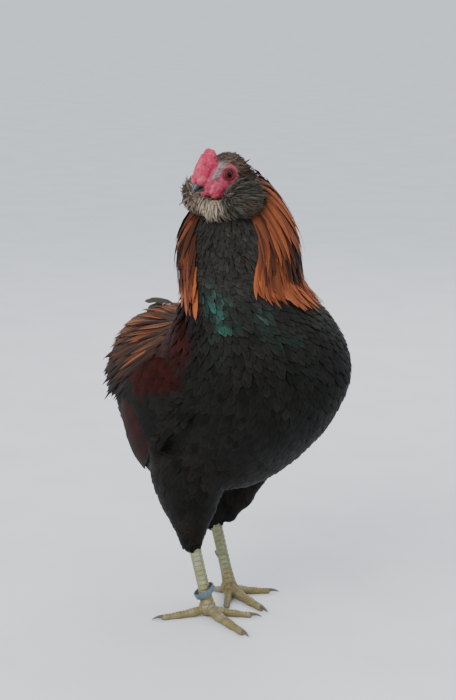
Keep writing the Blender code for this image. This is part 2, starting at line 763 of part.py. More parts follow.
def make_beard():
    """The beard under the beak, between the muffs."""
    random.seed(BEARD_SEED)
    centre = in_head(*BEARD_AT)
    beard = egg("beard", centre, BEARD_SIZE, HEAD_PLACE, 2)
    joined(beard, egg_locks(
        centre, BEARD_SIZE, BEARD_LOCKS, lambda unit: Vector((unit.x * 0.4, -0.25, -0.9)),
        lambda unit: unit.z > -0.7 and unit.y < 0.35,
    ))
    cutters = face_cutters()
    reach = 0.1
    edge = BEARD_HALF - GAP / 2
    cutters.append(block("cutter", (edge, -reach, -reach), (reach, reach, reach), HEAD_PLACE))
    cutters.append(block("cutter", (-reach, -reach, -reach), (-edge, reach, reach), HEAD_PLACE))
    carved(beard, cutters)
    finish(beard, "beard", BEIGE, 0.8)


class Flank:
    """The outer face of a folded wing: distances run back along the wing and up across it."""

    def __init__(self, side):
        self.side = side

    def spot(self, along, up):
        ahead = SHOULDER_AHEAD - along * math.cos(WING_SLOPE) - up * math.sin(WING_SLOPE)
        height = SHOULDER_UP - along * math.sin(WING_SLOPE) + up * math.cos(WING_SLOPE)
        wide, long, tall = FLANK_SIZE
        far = abs((ahead - FLANK_AHEAD) / long) ** FLANK_POWER
        high = abs((height - FLANK_UP) / tall) ** FLANK_POWER
        rest = max(1 - far - high, 0.05) ** (1 / FLANK_POWER)
        return Vector((self.side * wide * rest, -ahead, height))

    def normal(self, along, up):
        step = 0.001
        first = self.spot(along + step, up) - self.spot(along - step, up)
        second = self.spot(along, up + step) - self.spot(along, up - step)
        normal = first.cross(second).normalized()
        return normal if normal.x * self.side > 0 else -normal

    def point(self, along, up, lift=0.0):
        return self.spot(along, up) + self.normal(along, up) * lift


def wing_edges(along):
    """How far the wing reaches up and down from its own line, at a distance along it."""
    share = min(max(along / WING_LENGTH, 0.0), 1.0)
    front = math.sqrt(max(1 - ((0.30 - share) / 0.30) ** 2, 0.0)) if share < 0.30 else 1.0
    rear = 1.0 if share < 0.72 else math.sqrt(max(1 - ((share - 0.72) / 0.28) ** 2, 0.0))
    shape = max(min(front, rear), 0.02)
    return WING_UPPER * shape, -WING_LOWER * shape


def wing_feathers(flank, tier):
    """One tier of overlapping feathers across a folded wing, each tilted over the next one down."""
    root, tip, low, high, half_wide, count, lifts = WING_TIERS[tier]
    shape = QUILL_SHAPE if len(lifts) == len(QUILL_SHAPE) else COVERT_SHAPE
    feathers = []
    for index in range(count):
        share = index / (count - 1)
        across = low + (high - low) * share
        if tier == "primaries":
            end = tip - 0.034 * (1 - share)
            bend = -0.006
        else:
            end = tip - 0.010 * (1 - share) + random.uniform(-0.002, 0.002)
            bend = 0.002
        path = []
        for part, _ in shape:
            along = root + (end - root) * part
            high_edge, low_edge = wing_edges(along)
            up = across * (0.80 + 0.20 * part) + bend * part
            up = min(max(up, low_edge * EDGE_SHARE), high_edge * EDGE_SHARE)
            path.append((flank.spot(along, up), flank.normal(along, up)))
        feathers.append(vane(path, half_wide, shape, lifts, VANE_THICK, WING_TILT))
    return feathers


def make_wings():
    """The folded wings: a pad against the body with tiers of quills and coverts."""
    for side, name in ((1, "wing_left"), (-1, "wing_right")):
        flank = Flank(side)
        rings = []
        for along in spread(0.0, PAD_END, 7):
            high, low = wing_edges(along)
            across = spread(low, high, 6)
            outer = [flank.point(along, up) for up in across]
            inner = [flank.point(along, up, -WING_DEPTH) for up in reversed(across)]
            rings.append(outer + inner)
        wing = tube(name, rings)
        feathers = []
        for tier in WING_TIERS:
            feathers.extend(wing_feathers(flank, tier))
        joined(wing, feathers)
        leg = "left" if side > 0 else "right"
        carved(wing, [body_cutter(0, 12, GAP), thigh_body(leg, GAP)])
        finish(wing, name, MAROON, 0.6)


def limb_body(name, levels, sides, lift=0.0):
    """A body through level rings: each has a middle, a half width and a half depth."""
    rings = []
    for middle, wide, deep in levels:
        ring = []
        for side in range(sides):
            angle = math.tau * side / sides
            offset = Vector(((wide + lift) * math.sin(angle), (deep + lift) * math.cos(angle), 0))
            ring.append(middle + offset)
        rings.append(ring)
    return tube(name, rings)


def thigh_body(leg, lift=0.0):
    hock = HOCKS[leg]
    sign = 1 if leg == "right" else -1
    levels = []
    for t in spread(0.0, len(THIGH_RINGS) - 1, 6):
        height, left, ahead, wide, deep = row_between(THIGH_RINGS, t)
        levels.append((Vector((hock.x + sign * left, hock.y - ahead, height)), wide, deep))
    return limb_body("thigh", levels, THIGH_SIDES, lift)


def make_thighs():
    for leg in ("right", "left"):
        name = "thigh_" + leg
        thigh = thigh_body(leg)
        carved(thigh, [body_cutter(0, 10, GAP), shank_body(leg, GAP)])
        finish(thigh, name, BLACK, 0.7)


def shank_body(leg, lift=0.0):
    """The bare leg between hock and ankle, its front raised in overlapping scutes."""
    hock = HOCKS[leg]
    ankle = ANKLES[leg]
    rings = []
    for scute in range(SHANK_SCUTES):
        for share, rise in ((0.04, 0.15), (0.96, 1.0)):
            part = (scute + share) / SHANK_SCUTES
            middle = hock.lerp(ankle, part)
            swell = 1 + 0.25 * (2 * part - 1) ** 4
            ring = []
            for side in range(SHANK_SIDES):
                angle = math.tau * side / SHANK_SIDES
                front = max(-math.cos(angle), 0.0)
                extra = lift + SCUTE_RISE * rise * (1 if front > 0.3 else 0)
                wide = SHANK_HALF_WIDE * swell + extra
                deep = SHANK_HALF_DEEP * swell + extra
                ring.append(middle + Vector((wide * math.sin(angle), deep * math.cos(angle), 0)))
            rings.append(ring)
    return tube("shank", rings)


def make_shanks():
    for leg in ("right", "left"):
        finish(shank_body(leg), "shank_" + leg, SHANK, 0.55, crease=25)


def toe_way(turn):
    yaw = math.radians(turn)
    return Vector((math.sin(yaw), -math.cos(yaw), 0))


def toe_body(leg, length, thick, turn):
    """One toe with its scutes, flat underneath, from inside the ankle to its flat end."""
    start = ANKLES[leg].copy()
    way = toe_way(turn)
    left = Vector((0, 0, 1)).cross(way)
    rings = []
    for scute in range(TOE_SCUTES):
        for share, rise in ((0.05, 0.1), (0.95, 1.0)):
            part = (scute + share) / TOE_SCUTES
            radius = thick * (1 - 0.38 * part)
            height = radius * 0.86 + 0.004 * (1 - part) ** 3
            middle = start + way * (length * part)
            middle.z = height
            ring = []
            for side in range(TOE_SIDES):
                angle = math.tau * (side + 0.5) / TOE_SIDES
                over = max(math.cos(angle), 0.0)
                reach = radius + SCUTE_RISE * rise * (1 if over > 0.3 else 0)
                corner = middle + left * (reach * math.sin(angle)) + Vector((0, 0, reach * math.cos(angle)))
                corner.z = max(corner.z, 0.0)
                ring.append(corner)
            rings.append(ring)
    return tube("toe", rings)


def claw_body(leg, length, thick, turn):
    """The claw in front of a toe, curved down to just over the floor."""
    way = toe_way(turn)
    left = Vector((0, 0, 1)).cross(way)
    end = (TOE_SCUTES - 0.05) / TOE_SCUTES
    start = ANKLES[leg] + way * (length * end + GAP)
    rings = []
    for part in spread(0.0, 1.0, 3):
        radius = thick * 0.42 * (1 - part) ** 0.8 + 0.0004
        height = thick * 0.56 + 0.0012 * math.sin(part * 2.2) - 0.0022 * part
        middle = start + way * (CLAW_LENGTH * part)
        middle.z = max(height, radius + 0.0001)
        ring = []
        for side in range(TOE_SIDES):
            angle = math.tau * (side + 0.5) / TOE_SIDES
            over = Vector((0, 0, radius * math.cos(angle)))
            ring.append(middle + left * (radius * math.sin(angle)) + over)
        rings.append(ring)
    return tube("claw", rings)


def make_feet():
    for leg in ("right", "left"):
        ankle = ANKLES[leg]
        foot = egg("ankle", Vector((ankle.x, ankle.y, 0.0085)), (0.0092, 0.0098, 0.0085), rounds=2)
        toes = [toe_body(leg, length, thick, turn) for _, length, thick, turn in TOES[leg]]
        joined(foot, toes)
        floor = block("cutter", (-1, -1, -1), (1, 1, 0), Matrix())
        carved(foot, [shank_body(leg, GAP), floor])
        finish(foot, "foot_" + leg, FOOT, 0.6, crease=25)
        for toe, length, thick, turn in TOES[leg]:
            claw = claw_body(leg, length, thick, turn)
            finish(claw, "claw_" + leg + "_" + toe, CLAW, 0.4)


def make_spurs():
    for leg, sign in (("right", 1), ("left", -1)):
        root = HOCKS[leg].lerp(ANKLES[leg], 0.62)
        way = Vector((sign * 0.40, 0.90, 0.14)).normalized()
        left = way.cross(Vector((0, 0, 1))).normalized()
        up = left.cross(way)
        rings = []
        for part in spread(0.0, 1.0, 4):
            radius = 0.0040 * (1 - part) + 0.0005
            reach = SPUR_ROOT + (SPUR_LENGTH - SPUR_ROOT) * part
            middle = root + way * reach + Vector((0, 0, 0.002 * part * part))
            ring = []
            for side in range(8):
                angle = math.tau * side / 8
                ring.append(middle + left * (radius * math.cos(angle)) + up * (radius * math.sin(angle)))
            rings.append(ring)
        spur = tube("spur", rings)
        carved(spur, [shank_body(leg, GAP)])
        finish(spur, "spur_" + leg, CLAW, 0.4)


def make_leg_ring():
    """The loose plain band that lies tilted round the right leg, just over the foot."""
    lean = (HOCKS["right"] - ANKLES["right"]).to_track_quat("Z", "Y").to_matrix().to_4x4()
    place = Matrix.Translation(HOCKS["right"].lerp(ANKLES["right"], RING_PLACE))
    place = place @ Matrix.Rotation(-RING_TILT, 4, "Y") @ lean
    rings = []
    for radius, height in (
        (RING_INNER, -0.5), (RING_OUTER, -0.5), (RING_OUTER, 0.5), (RING_INNER, 0.5)
    ):
        ring = []
        for side in range(RING_SIDES):
            angle = math.tau * side / RING_SIDES
            across = (radius * math.cos(angle), radius * math.sin(angle))
            ring.append(place @ Vector((*across, height * RING_HEIGHT)))
        rings.append(ring)
    points = [corner for ring in rings for corner in ring]
    faces = []
    for level in range(4):
        after_level = (level + 1) % 4
        for side in range(RING_SIDES):
            after = (side + 1) % RING_SIDES
            low = level * RING_SIDES
            high = after_level * RING_SIDES
            faces.append((low + side, low + after, high + after, high + side))
    finish(solid("leg_ring", points, faces), "leg_ring", RING_BLUE, 0.5)


def centre_on_feet():
    """Moves the whole bird so that the middle of its outline lies over the origin."""
    things = list(bpy.context.scene.objects)
    corners = [vert.co for thing in things for vert in thing.data.vertices]
    middle_x = (min(c.x for c in corners) + max(c.x for c in corners)) / 2
    middle_y = (min(c.y for c in corners) + max(c.y for c in corners)) / 2
    for thing in things:
        thing.data.transform(Matrix.Translation((-middle_x, -middle_y, 0)))


def main():
    for thing in list(bpy.data.objects):
        bpy.data.objects.remove(thing)
    random.seed(SEED)
    make_torso()
    make_rump()
    make_neck()
    make_head()
    make_beak()
    make_eyes()
    make_comb()
    make_wattles()
    make_muffs()
    make_beard()
    make_wings()
    make_thighs()
    make_shanks()
    make_feet()
    make_spurs()
    make_leg_ring()
    centre_on_feet()


main()
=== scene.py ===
"""The looks of a life-size standing Araucana cock: skin, horn, scaled legs and every layer of plumage.

The bird faces -Y, its left side is on +X, and it stands on the floor at z = 0. "Ahead" is the distance
in front of the middle of the feet. Lengths are in metres.
"""

import math
from types import SimpleNamespace

import bmesh
import bpy
import numpy as np
from bpy.props import FloatProperty, FloatVectorProperty, IntProperty, PointerProperty
from mathutils import Matrix, Vector
from mathutils.bvhtree import BVHTree
from mathutils.kdtree import KDTree


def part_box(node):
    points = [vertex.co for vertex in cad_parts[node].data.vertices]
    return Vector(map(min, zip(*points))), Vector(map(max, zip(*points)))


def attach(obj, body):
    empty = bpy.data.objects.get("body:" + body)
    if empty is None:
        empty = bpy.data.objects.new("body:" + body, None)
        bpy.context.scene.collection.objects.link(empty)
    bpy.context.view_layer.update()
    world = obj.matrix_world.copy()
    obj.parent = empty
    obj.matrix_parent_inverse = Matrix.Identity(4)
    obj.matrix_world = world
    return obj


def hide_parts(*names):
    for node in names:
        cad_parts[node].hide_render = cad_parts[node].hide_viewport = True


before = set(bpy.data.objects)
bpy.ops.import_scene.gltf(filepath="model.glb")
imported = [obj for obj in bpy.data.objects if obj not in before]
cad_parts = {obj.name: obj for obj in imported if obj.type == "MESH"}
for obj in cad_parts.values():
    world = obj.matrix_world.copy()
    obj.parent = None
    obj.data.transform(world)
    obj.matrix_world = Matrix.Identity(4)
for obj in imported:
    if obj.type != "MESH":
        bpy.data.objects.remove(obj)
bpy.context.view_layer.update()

bl_info = {
    "name": "Araucana cock",
    "version": (1, 0, 0),
    "blender": (4, 5, 0),
    "location": "3D View > Sidebar > Araucana",
    "description": "Builds the skin, horn, legs and plumage of a standing Araucana cock",
    "category": "Add Mesh",
}

# The body from rump to head, one row a ring: the back's place ahead and height, the belly's place
# ahead and height, half the width, the shift to the left, the turn to the left in degrees, how
# square the ring is (2 is an ellipse), and how much narrower it is at the belly.
BODY_RINGS = (
    (-0.134, 0.268, -0.138, 0.240, 0.014, 0.000, 0, 2.0, 0.0),
    (-0.117, 0.296, -0.132, 0.200, 0.049, 0.000, 0, 2.2, 0.0),
    (-0.088, 0.306, -0.118, 0.166, 0.067, 0.000, 0, 2.2, 0.0),
    (-0.048, 0.309, -0.088, 0.142, 0.079, 0.000, 0, 2.2, 0.06),
    (-0.030, 0.313, -0.044, 0.130, 0.083, 0.000, 0, 2.2, 0.12),
    (-0.020, 0.318, 0.000, 0.128, 0.085, 0.000, 0, 2.2, 0.16),
    (-0.014, 0.324, 0.044, 0.144, 0.088, 0.000, 0, 2.2, 0.16),
    (-0.012, 0.329, 0.086, 0.176, 0.090, 0.000, 0, 2.3, 0.14),
    (-0.013, 0.334, 0.119, 0.211, 0.091, 0.000, 0, 2.3, 0.10),
    (-0.015, 0.340, 0.136, 0.252, 0.090, 0.000, 0, 2.3, 0.04),
    (-0.018, 0.347, 0.124, 0.294, 0.077, -0.001, -6, 2.2, 0.0),
    (-0.022, 0.358, 0.100, 0.326, 0.064, -0.006, -16, 2.1, 0.0),
    (-0.026, 0.376, 0.088, 0.348, 0.057, -0.009, -30, 2.0, 0.0),
    (-0.023, 0.404, 0.076, 0.364, 0.057, -0.008, -44, 2.0, 0.0),
    (-0.017, 0.433, 0.060, 0.380, 0.052, -0.007, -57, 2.0, 0.0),
    (-0.013, 0.460, 0.044, 0.398, 0.038, -0.006, -71, 2.0, 0.0),
    (-0.008, 0.471, 0.024, 0.420, 0.018, -0.010, -84, 2.0, 0.0),
)
BODY_TOP = 15.7

# The head in its own frame (x to its left, -y ahead, z up), rings in the same terms as the body's
HEAD_AT = Vector((-0.0198, -0.0139, 0.4561))
HEAD_TURN = math.radians(-90)
HEAD_DIP = math.radians(10)
SKULL_RINGS = (
    (-0.027, 0.002, -0.027, -0.008, 0.0060, 0, 0, 2.0, 0),
    (-0.022, 0.016, -0.022, -0.018, 0.0150, 0, 0, 2.0, 0),
    (-0.010, 0.021, -0.012, -0.022, 0.0170, 0, 0, 2.1, 0),
    (0.002, 0.020, 0.000, -0.022, 0.0165, 0, 0, 2.1, 0),
    (0.012, 0.016, 0.010, -0.019, 0.0135, 0, 0, 2.0, 0),
    (0.020, 0.010, 0.018, -0.015, 0.0100, 0, 0, 2.0, 0),
    (0.026, 0.005, 0.024, -0.012, 0.0075, 0, 0, 2.0, 0),
)
UPPER_BEAK_RINGS = (
    (0.0180, 0.0070, 0.0160, -0.0030, 0.0080, 0, 0, 2.0, 0),
    (0.0270, 0.0050, 0.0250, -0.0042, 0.0062, 0, 0, 2.0, 0),
    (0.0340, 0.0010, 0.0310, -0.0050, 0.0042, 0, 0, 2.0, 0),
    (0.0390, -0.0050, 0.0360, -0.0075, 0.0022, 0, 0, 2.0, 0),
    (0.0405, -0.0105, 0.0395, -0.0110, 0.0006, 0, 0, 2.0, 0),
)
LOWER_BEAK_RINGS = (
    (0.0160, -0.0036, 0.0160, -0.0100, 0.0070, 0, 0, 2.0, 0),
    (0.0260, -0.0048, 0.0250, -0.0095, 0.0052, 0, 0, 2.0, 0),
    (0.0330, -0.0062, 0.0320, -0.0090, 0.0030, 0, 0, 2.0, 0),
    (0.0365, -0.0078, 0.0360, -0.0090, 0.0008, 0, 0, 2.0, 0),
)
EYE_SIDE = 0.0118
EYE_AHEAD = 0.0010
EYE_UP = 0.0040
EYE_RADIUS = 0.0060
SOCKET_RADIUS = EYE_RADIUS - 0.0012
# The lobes of the ruff of muffs and beard: place to the side, ahead and up, then half sizes
RUFF_LOBES = (
    (0.0270, -0.0030, -0.0205, 0.0185, 0.0210, 0.0180), (-0.0285, 0.0030, -0.0195, 0.0200, 0.0225, 0.0195),
    (0.0140, 0.0040, -0.0280, 0.0120, 0.0120, 0.0120), (-0.0140, 0.0060, -0.0270, 0.0125, 0.0130, 0.0125),
    (0.0, 0.0105, -0.0300, 0.0175, 0.0125, 0.0110), (0.0, 0.0150, -0.0240, 0.0130, 0.0080, 0.0068),
)
BEARD_HALF_WIDE = 0.0095
# The lobes of a wattle, of the face and of the comb, in the same terms. The face has a cheek below
# the eye, a ridge before it and an ear lobe.
WATTLE_LOBES = (
    (0.00828, 0.0170, -0.0096, 0.00306, 0.0056, 0.0042),
    (0.00864, 0.0160, -0.0144, 0.00270, 0.0044, 0.0033),
)
FACE_LOBES = (
    (0.0092, 0.0075, -0.0080, 0.0046, 0.0135, 0.0105), (0.0042, 0.0262, 0.0030, 0.0044, 0.0062, 0.0050),
    (0.0150, -0.0085, -0.0070, 0.0034, 0.0040, 0.0056),
)
COMB_LOBES = (
    (0.0, 0.0290, 0.0075, 0.0038, 0.0045, 0.0060), (0.0, 0.0238, 0.0137, 0.0046, 0.0050, 0.0078),
    (0.0, 0.0172, 0.0193, 0.0052, 0.0054, 0.0090), (0.0, 0.0098, 0.0224, 0.0052, 0.0052, 0.0093),
    (0.0056, 0.0215, 0.0112, 0.0034, 0.0054, 0.0068),
    (0.0056, 0.0130, 0.0165, 0.0034, 0.0052, 0.0076),
)
# The comb's last pair of lobes and the nostrils, in the same terms
COMB_BACK = (0.0036, 0.0092, 0.0236, 0.0036, 0.0048, 0.0068)
NOSTRIL = (0.0056, 0.0262, 0.0018, 0.0040, 0.0026, 0.0012)

# The folded wings: distances run back along the wing and up across it
SHOULDER_AHEAD = 0.058
SHOULDER_UP = 0.268
WING_SLOPE = math.radians(38)
WING_LENGTH = 0.190
WING_UPPER = 0.048
WING_LOWER = 0.042
FLANK_AHEAD = 0.018
FLANK_UP = 0.225
FLANK_SIZE = (0.0945, 0.145, 0.125)
FLANK_POWER = 2.1

# The legs, one row a ring: height, the ring's middle from the hock to the left and ahead, and the
# half width and half depth. The right leg is the one in the table.
THIGH_RINGS = (
    (0.062, 0.0005, 0.000, 0.0085, 0.0096),
    (0.075, -0.0006, 0.000, 0.0116, 0.0136),
    (0.095, -0.0026, 0.001, 0.0182, 0.0218),
    (0.120, -0.0060, 0.003, 0.0275, 0.0350),
    (0.150, -0.0095, 0.006, 0.0340, 0.0450),
    (0.180, -0.0100, 0.008, 0.0350, 0.0500),
)
# The loose feathers of the flank that hang over the left thigh: middles and half sizes
FLANK_TUFTS = (
    ((0.0440, 0.0200, 0.1400), (0.0230, 0.0230, 0.0300)),
    ((0.0370, 0.0240, 0.1180), (0.0165, 0.0170, 0.0270)),
    ((0.0280, 0.0330, 0.0990), (0.0115, 0.0120, 0.0240)),
)
HOCKS = {"right": Vector((-0.040, 0.010, 0.084)), "left": Vector((0.022, 0.054, 0.086))}
ANKLES = {"right": Vector((-0.0355, -0.011, 0.013)), "left": Vector((0.020, 0.023, 0.013))}
SHANK_HALF_WIDE = 0.0060
SHANK_HALF_DEEP = 0.0070
# Each toe: its name, length, thickness at its root, and its turn from straight ahead to the left
TOES = {
    "right": (("middle", 0.066, 0.0058, -5), ("outer", 0.048, 0.0050, -112), ("inner", 0.045, 0.0050, 44),
              ("hind", 0.022, 0.0042, 150)),
    "left": (("middle", 0.060, 0.0058, -4), ("outer", 0.042, 0.0050, 56), ("inner", 0.042, 0.0050, -42),
             ("hind", 0.022, 0.0042, 200)),
}
SHANK_SCUTE = 0.0051
TOE_SCUTE = 0.0037
CLAW_LENGTH = 0.012
SPUR_LENGTH = 0.010
RING_PLACE = 0.82
RING_INNER = 0.0103
RING_OUTER = 0.0117
RING_HEIGHT = 0.0060
RING_TILT = math.radians(22)

# The outlines of feathers: share of the length, share of the half width
ROUND_SHAPE = ((0.0, 0.35), (0.22, 0.80), (0.50, 1.0), (0.74, 0.88), (0.90, 0.55), (1.0, 0.12))
HACKLE_SHAPE = (
    (0.0, 0.30), (0.10, 0.62), (0.24, 0.90), (0.40, 1.0), (0.56, 0.95), (0.72, 0.78), (0.86, 0.50),
    (0.95, 0.24), (1.0, 0.05),
)
QUILL_SHAPE = (
    (0.0, 0.40), (0.12, 0.72), (0.28, 0.92), (0.46, 1.0), (0.64, 1.0), (0.80, 0.95), (0.91, 0.78),
    (0.97, 0.50), (1.0, 0.15),
)
TUFT_SHAPE = ((0.0, 0.7), (0.3, 1.0), (0.6, 0.86), (0.85, 0.5), (1.0, 0.08))

# The grain of the fused shapes: the finest form that each one holds
HIDE_GRAIN = 0.0032
SKIN_GRAIN = 0.0026
RUFF_GRAIN = 0.0011
LEG_GRAIN = 0.00052
# The share of its faces that the head's skin keeps
SKIN_SHARE = 0.42
# How high the relief of the head's skin stands, and how far apart the rings round the eye lie
FOLD_HEIGHT = 0.00036
PEBBLE_HEIGHT = 0.00016
COMB_PEBBLE_HEIGHT = 0.00020
EYE_RING_HEIGHT = 0.00012
EYE_RING_GAP = 0.00125
# The size of a vane's patch on its coat's unwrap, and the angles that stay sharp
BAKE_PATCH = 0.003
SHARP_VANE = math.radians(62)
SHARP_RING = math.radians(40)


def srgb(red, green, blue):
    """A colour seen on a screen, 0 to 255, as the shader's own values."""
    parts = (part / 255 for part in (red, green, blue))
    return tuple(part / 12.92 if part < 0.0405 else ((part + 0.055) / 1.055) ** 2.4 for part in parts)


def unit(vectors):
    """Vectors at a length of one."""
    return vectors / np.maximum(np.linalg.norm(vectors, axis=-1, keepdims=True), 1e-12)


def dot(first, second):
    return np.sum(first * second, axis=-1)


def smooth_step(low, high, values):
    """An even rise from 0 at low to 1 at high."""
    part = np.clip((values - low) / (high - low), 0.0, 1.0)
    return part * part * (3 - 2 * part)


def noise(points, size, seed=0):
    """Smooth random values from -1 to 1 at points in space, in patches of a given size."""
    grid = np.asarray(points) / size + 31.7 * (seed + 1)
    cell = np.floor(grid).astype(np.int64)
    part = grid - cell
    part = part * part * (3 - 2 * part)
    total = np.zeros(len(grid))
    for corner in range(8):
        offset = np.array([corner & 1, corner >> 1 & 1, corner >> 2])
        key = (cell + offset) @ np.array([73856093, 19349663, 83492791])
        value = ((key ^ (key >> 13)) * 1274126177 & 0xFFFFFF) / 0x7FFFFF - 1
        weight = np.prod(np.where(offset, part, 1 - part), axis=-1)
        total += value * weight
    return total


def rows_between(rows, t):
    """The values between the rows of a table, on a smooth curve through them, at an array of places."""
    index = np.clip(np.floor(t).astype(int), 0, len(rows) - 2)
    s = (t - index)[..., None]
    a = rows[np.maximum(index - 1, 0)]
    b = rows[index]
    c = rows[index + 1]
    d = rows[np.minimum(index + 2, len(rows) - 1)]
    bend = (2 * a - 5 * b + 4 * c - d) * s * s + (3 * b - a - 3 * c + d) * s ** 3
    return 0.5 * (2 * b + (c - a) * s + bend)


class Patch:
    """A surface with two coordinates, over which feathers are set. A kind of patch says its spot."""

    step = 0.002

    def frame(self, a, b):
        """The points, their normals, and the slopes along both coordinates."""
        step = self.step
        along = (self.spot(a + step, b) - self.spot(a - step, b)) / (2 * step)
        around = (self.spot(a, b + step) - self.spot(a, b - step)) / (2 * step)
        point = self.spot(a, b)
        normal = unit(np.cross(around, along))
        sign = np.where(dot(normal, self.outward(point, a, b)) < 0, -1.0, 1.0)
        return point, normal * sign[..., None], along, around

    def point(self, a, b, lift):
        point, normal, _, _ = self.frame(a, b)
        return point + normal * lift

    def stride(self, a, b, along, around, step):
        """The coordinates after a step in space."""
        square = dot(along, along)
        cross = dot(along, around)
        wide = dot(around, around)
        ahead = dot(along, step)
        aside = dot(around, step)
        whole = square * wide - cross * cross
        return a + (ahead * wide - aside * cross) / whole, b + (square * aside - cross * ahead) / whole


class Loft(Patch):
    """A rounded body through the rings of a table: place along the table, and angle from the back."""

    def __init__(self, rings, place):
        self.rings = np.array(rings, float)
        self.turn = np.array(place.to_3x3())
        self.shift = np.array(place.translation)

    def ring(self, t):
        row = np.moveaxis(rows_between(self.rings, t), -1, 0)
        back_f, back_z, belly_f, belly_z, half, shift, turn, power, keel = row
        yaw = np.radians(turn)
        zero = np.zeros_like(yaw)
        left = np.stack([np.cos(yaw) * half, np.sin(yaw) * half, zero], -1)
        drop = (back_f - belly_f) / 2
        up = np.stack([np.sin(yaw) * drop, -np.cos(yaw) * drop, (back_z - belly_z) / 2], -1)
        centre = np.stack([shift, -(back_f + belly_f) / 2, (back_z + belly_z) / 2], -1)
        return centre, up, left, power, keel

    def spot(self, t, angle):
        centre, up, left, power, keel = self.ring(t)
        c = np.cos(angle)
        s = np.sin(angle)
        reach = (np.abs(c) ** power + np.abs(s) ** power) ** (-1 / power)
        local = centre + up * (c * reach)[..., None] + left * (s * reach * (1 + keel * c))[..., None]
        return local @ self.turn.T + self.shift

    def outward(self, point, t, angle):
        return point - (self.ring(t)[0] @ self.turn.T + self.shift)


class Limb(Patch):
    """A leg's feathered part, through level rings."""

    def __init__(self, rings, base, sign):
        self.rings = np.array(rings, float)
        self.base = np.array(base)
        self.sign = sign

    def middle(self, t):
        height, left, ahead, wide, deep = np.moveaxis(rows_between(self.rings, t), -1, 0)
        middle = np.stack([self.base[0] + self.sign * left, self.base[1] - ahead, height], -1)
        return middle, wide, deep

    def spot(self, t, angle):
        middle, wide, deep = self.middle(t)
        return middle + np.stack([wide * np.sin(angle), deep * np.cos(angle), np.zeros_like(wide)], -1)

    def outward(self, point, t, angle):
        return point - self.middle(t)[0]


class Flank(Patch):
    """The outer face of a folded wing: distance back along the wing, and up across it."""

    step = 0.0008

    def __init__(self, side, shift):
        self.side = side
        self.shift = np.array(shift)

    def spot(self, along, up):
        ahead = SHOULDER_AHEAD - along * math.cos(WING_SLOPE) - up * math.sin(WING_SLOPE)
        height = SHOULDER_UP - along * math.sin(WING_SLOPE) + up * math.cos(WING_SLOPE)
        wide, long, tall = FLANK_SIZE
        far = np.abs((ahead - FLANK_AHEAD) / long) ** FLANK_POWER
        high = np.abs((height - FLANK_UP) / tall) ** FLANK_POWER
        rest = np.maximum(1 - far - high, 0.05) ** (1 / FLANK_POWER)
        return np.stack([self.side * wide * rest, -ahead, height], -1) + self.shift

    def outward(self, point, along, up):
        return np.broadcast_to(np.array([self.side, 0.0, 0.0]), point.shape)


def in_head(left, ahead, up):
    """A point given in the head's own frame, before the head is turned."""
    return Vector((left, -ahead, up))


HEAD_HERE = (
    Matrix.Translation(HEAD_AT) @ Matrix.Rotation(HEAD_TURN, 4, "Z") @ Matrix.Rotation(HEAD_DIP, 4, "X")
)
EYE_LOW, EYE_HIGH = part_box("eye_left")
SHIFT = (EYE_LOW + EYE_HIGH) / 2 - HEAD_HERE @ in_head(EYE_SIDE, EYE_AHEAD, EYE_UP)
HEAD_PLACE = Matrix.Translation(SHIFT) @ HEAD_HERE
BODY = Loft(BODY_RINGS, Matrix.Translation(SHIFT))
SKULL = Loft(SKULL_RINGS, HEAD_PLACE)
AHEAD = np.array([1.0, -1.0, 1.0])
SIDES = {"left": 1, "right": -1}
HOCK = {leg: point + SHIFT for leg, point in HOCKS.items()}
ANKLE = {leg: point + SHIFT for leg, point in ANKLES.items()}
THIGHS = {leg: Limb(THIGH_RINGS, HOCK[leg], -side) for leg, side in SIDES.items()}
WINGS = {leg: Flank(side, SHIFT) for leg, side in SIDES.items()}
BODY_GRID = np.meshgrid(np.linspace(0.0, BODY_TOP, 95), np.linspace(-math.pi, math.pi, 73)[:-1])
BODY_T, BODY_ANGLE = (grid.ravel() for grid in BODY_GRID)
BODY_TREE = KDTree(len(BODY_T))
for index, place in enumerate(BODY.spot(BODY_T, BODY_ANGLE)):
    BODY_TREE.insert(place, index)
BODY_TREE.balance()


def on_body(points):
    """The places on the body's loft next to points: along it, the angle round it, and how far off it."""
    near = np.array([BODY_TREE.find(point)[1] for point in points.tolist()])
    t, angle = BODY_T[near], BODY_ANGLE[near]
    spot, normal, along, around = BODY.frame(t, angle)
    fine_t, fine_angle = BODY.stride(t, angle, along, around, points - spot)
    t = np.clip(fine_t, np.maximum(t - 0.2, 0.0), t + 0.2)
    angle = np.clip(fine_angle, angle - 0.1, angle + 0.1)
    return t, (angle + math.pi) % math.tau - math.pi, dot(points - spot, normal)


def to_head(points):
    """Points in space as places in the head's own frame: to the left, ahead and up."""
    return (np.asarray(points) - np.array(HEAD_PLACE.translation)) @ np.array(HEAD_PLACE.to_3x3()) * AHEAD


def from_head(local):
    """Ways in the head's own frame as ways in space."""
    return (np.asarray(local) * AHEAD) @ np.array(HEAD_PLACE.to_3x3()).T


def out_of_head(local):
    """Places in the head's own frame as points in space."""
    return from_head(local) + np.array(HEAD_PLACE.translation)


def wing_edges(along):
    """How far a wing reaches up and down from its own line, at distances along it."""
    share = np.clip(np.asarray(along) / WING_LENGTH, 0.0, 1.0)
    front = np.sqrt(np.maximum(1 - ((0.30 - np.minimum(share, 0.30)) / 0.30) ** 2, 0.0))
    rear = np.sqrt(np.maximum(1 - ((np.maximum(share, 0.72) - 0.72) / 0.28) ** 2, 0.0))
    shape = np.maximum(np.minimum(front, rear), 0.02)
    return WING_UPPER * shape, -WING_LOWER * shape


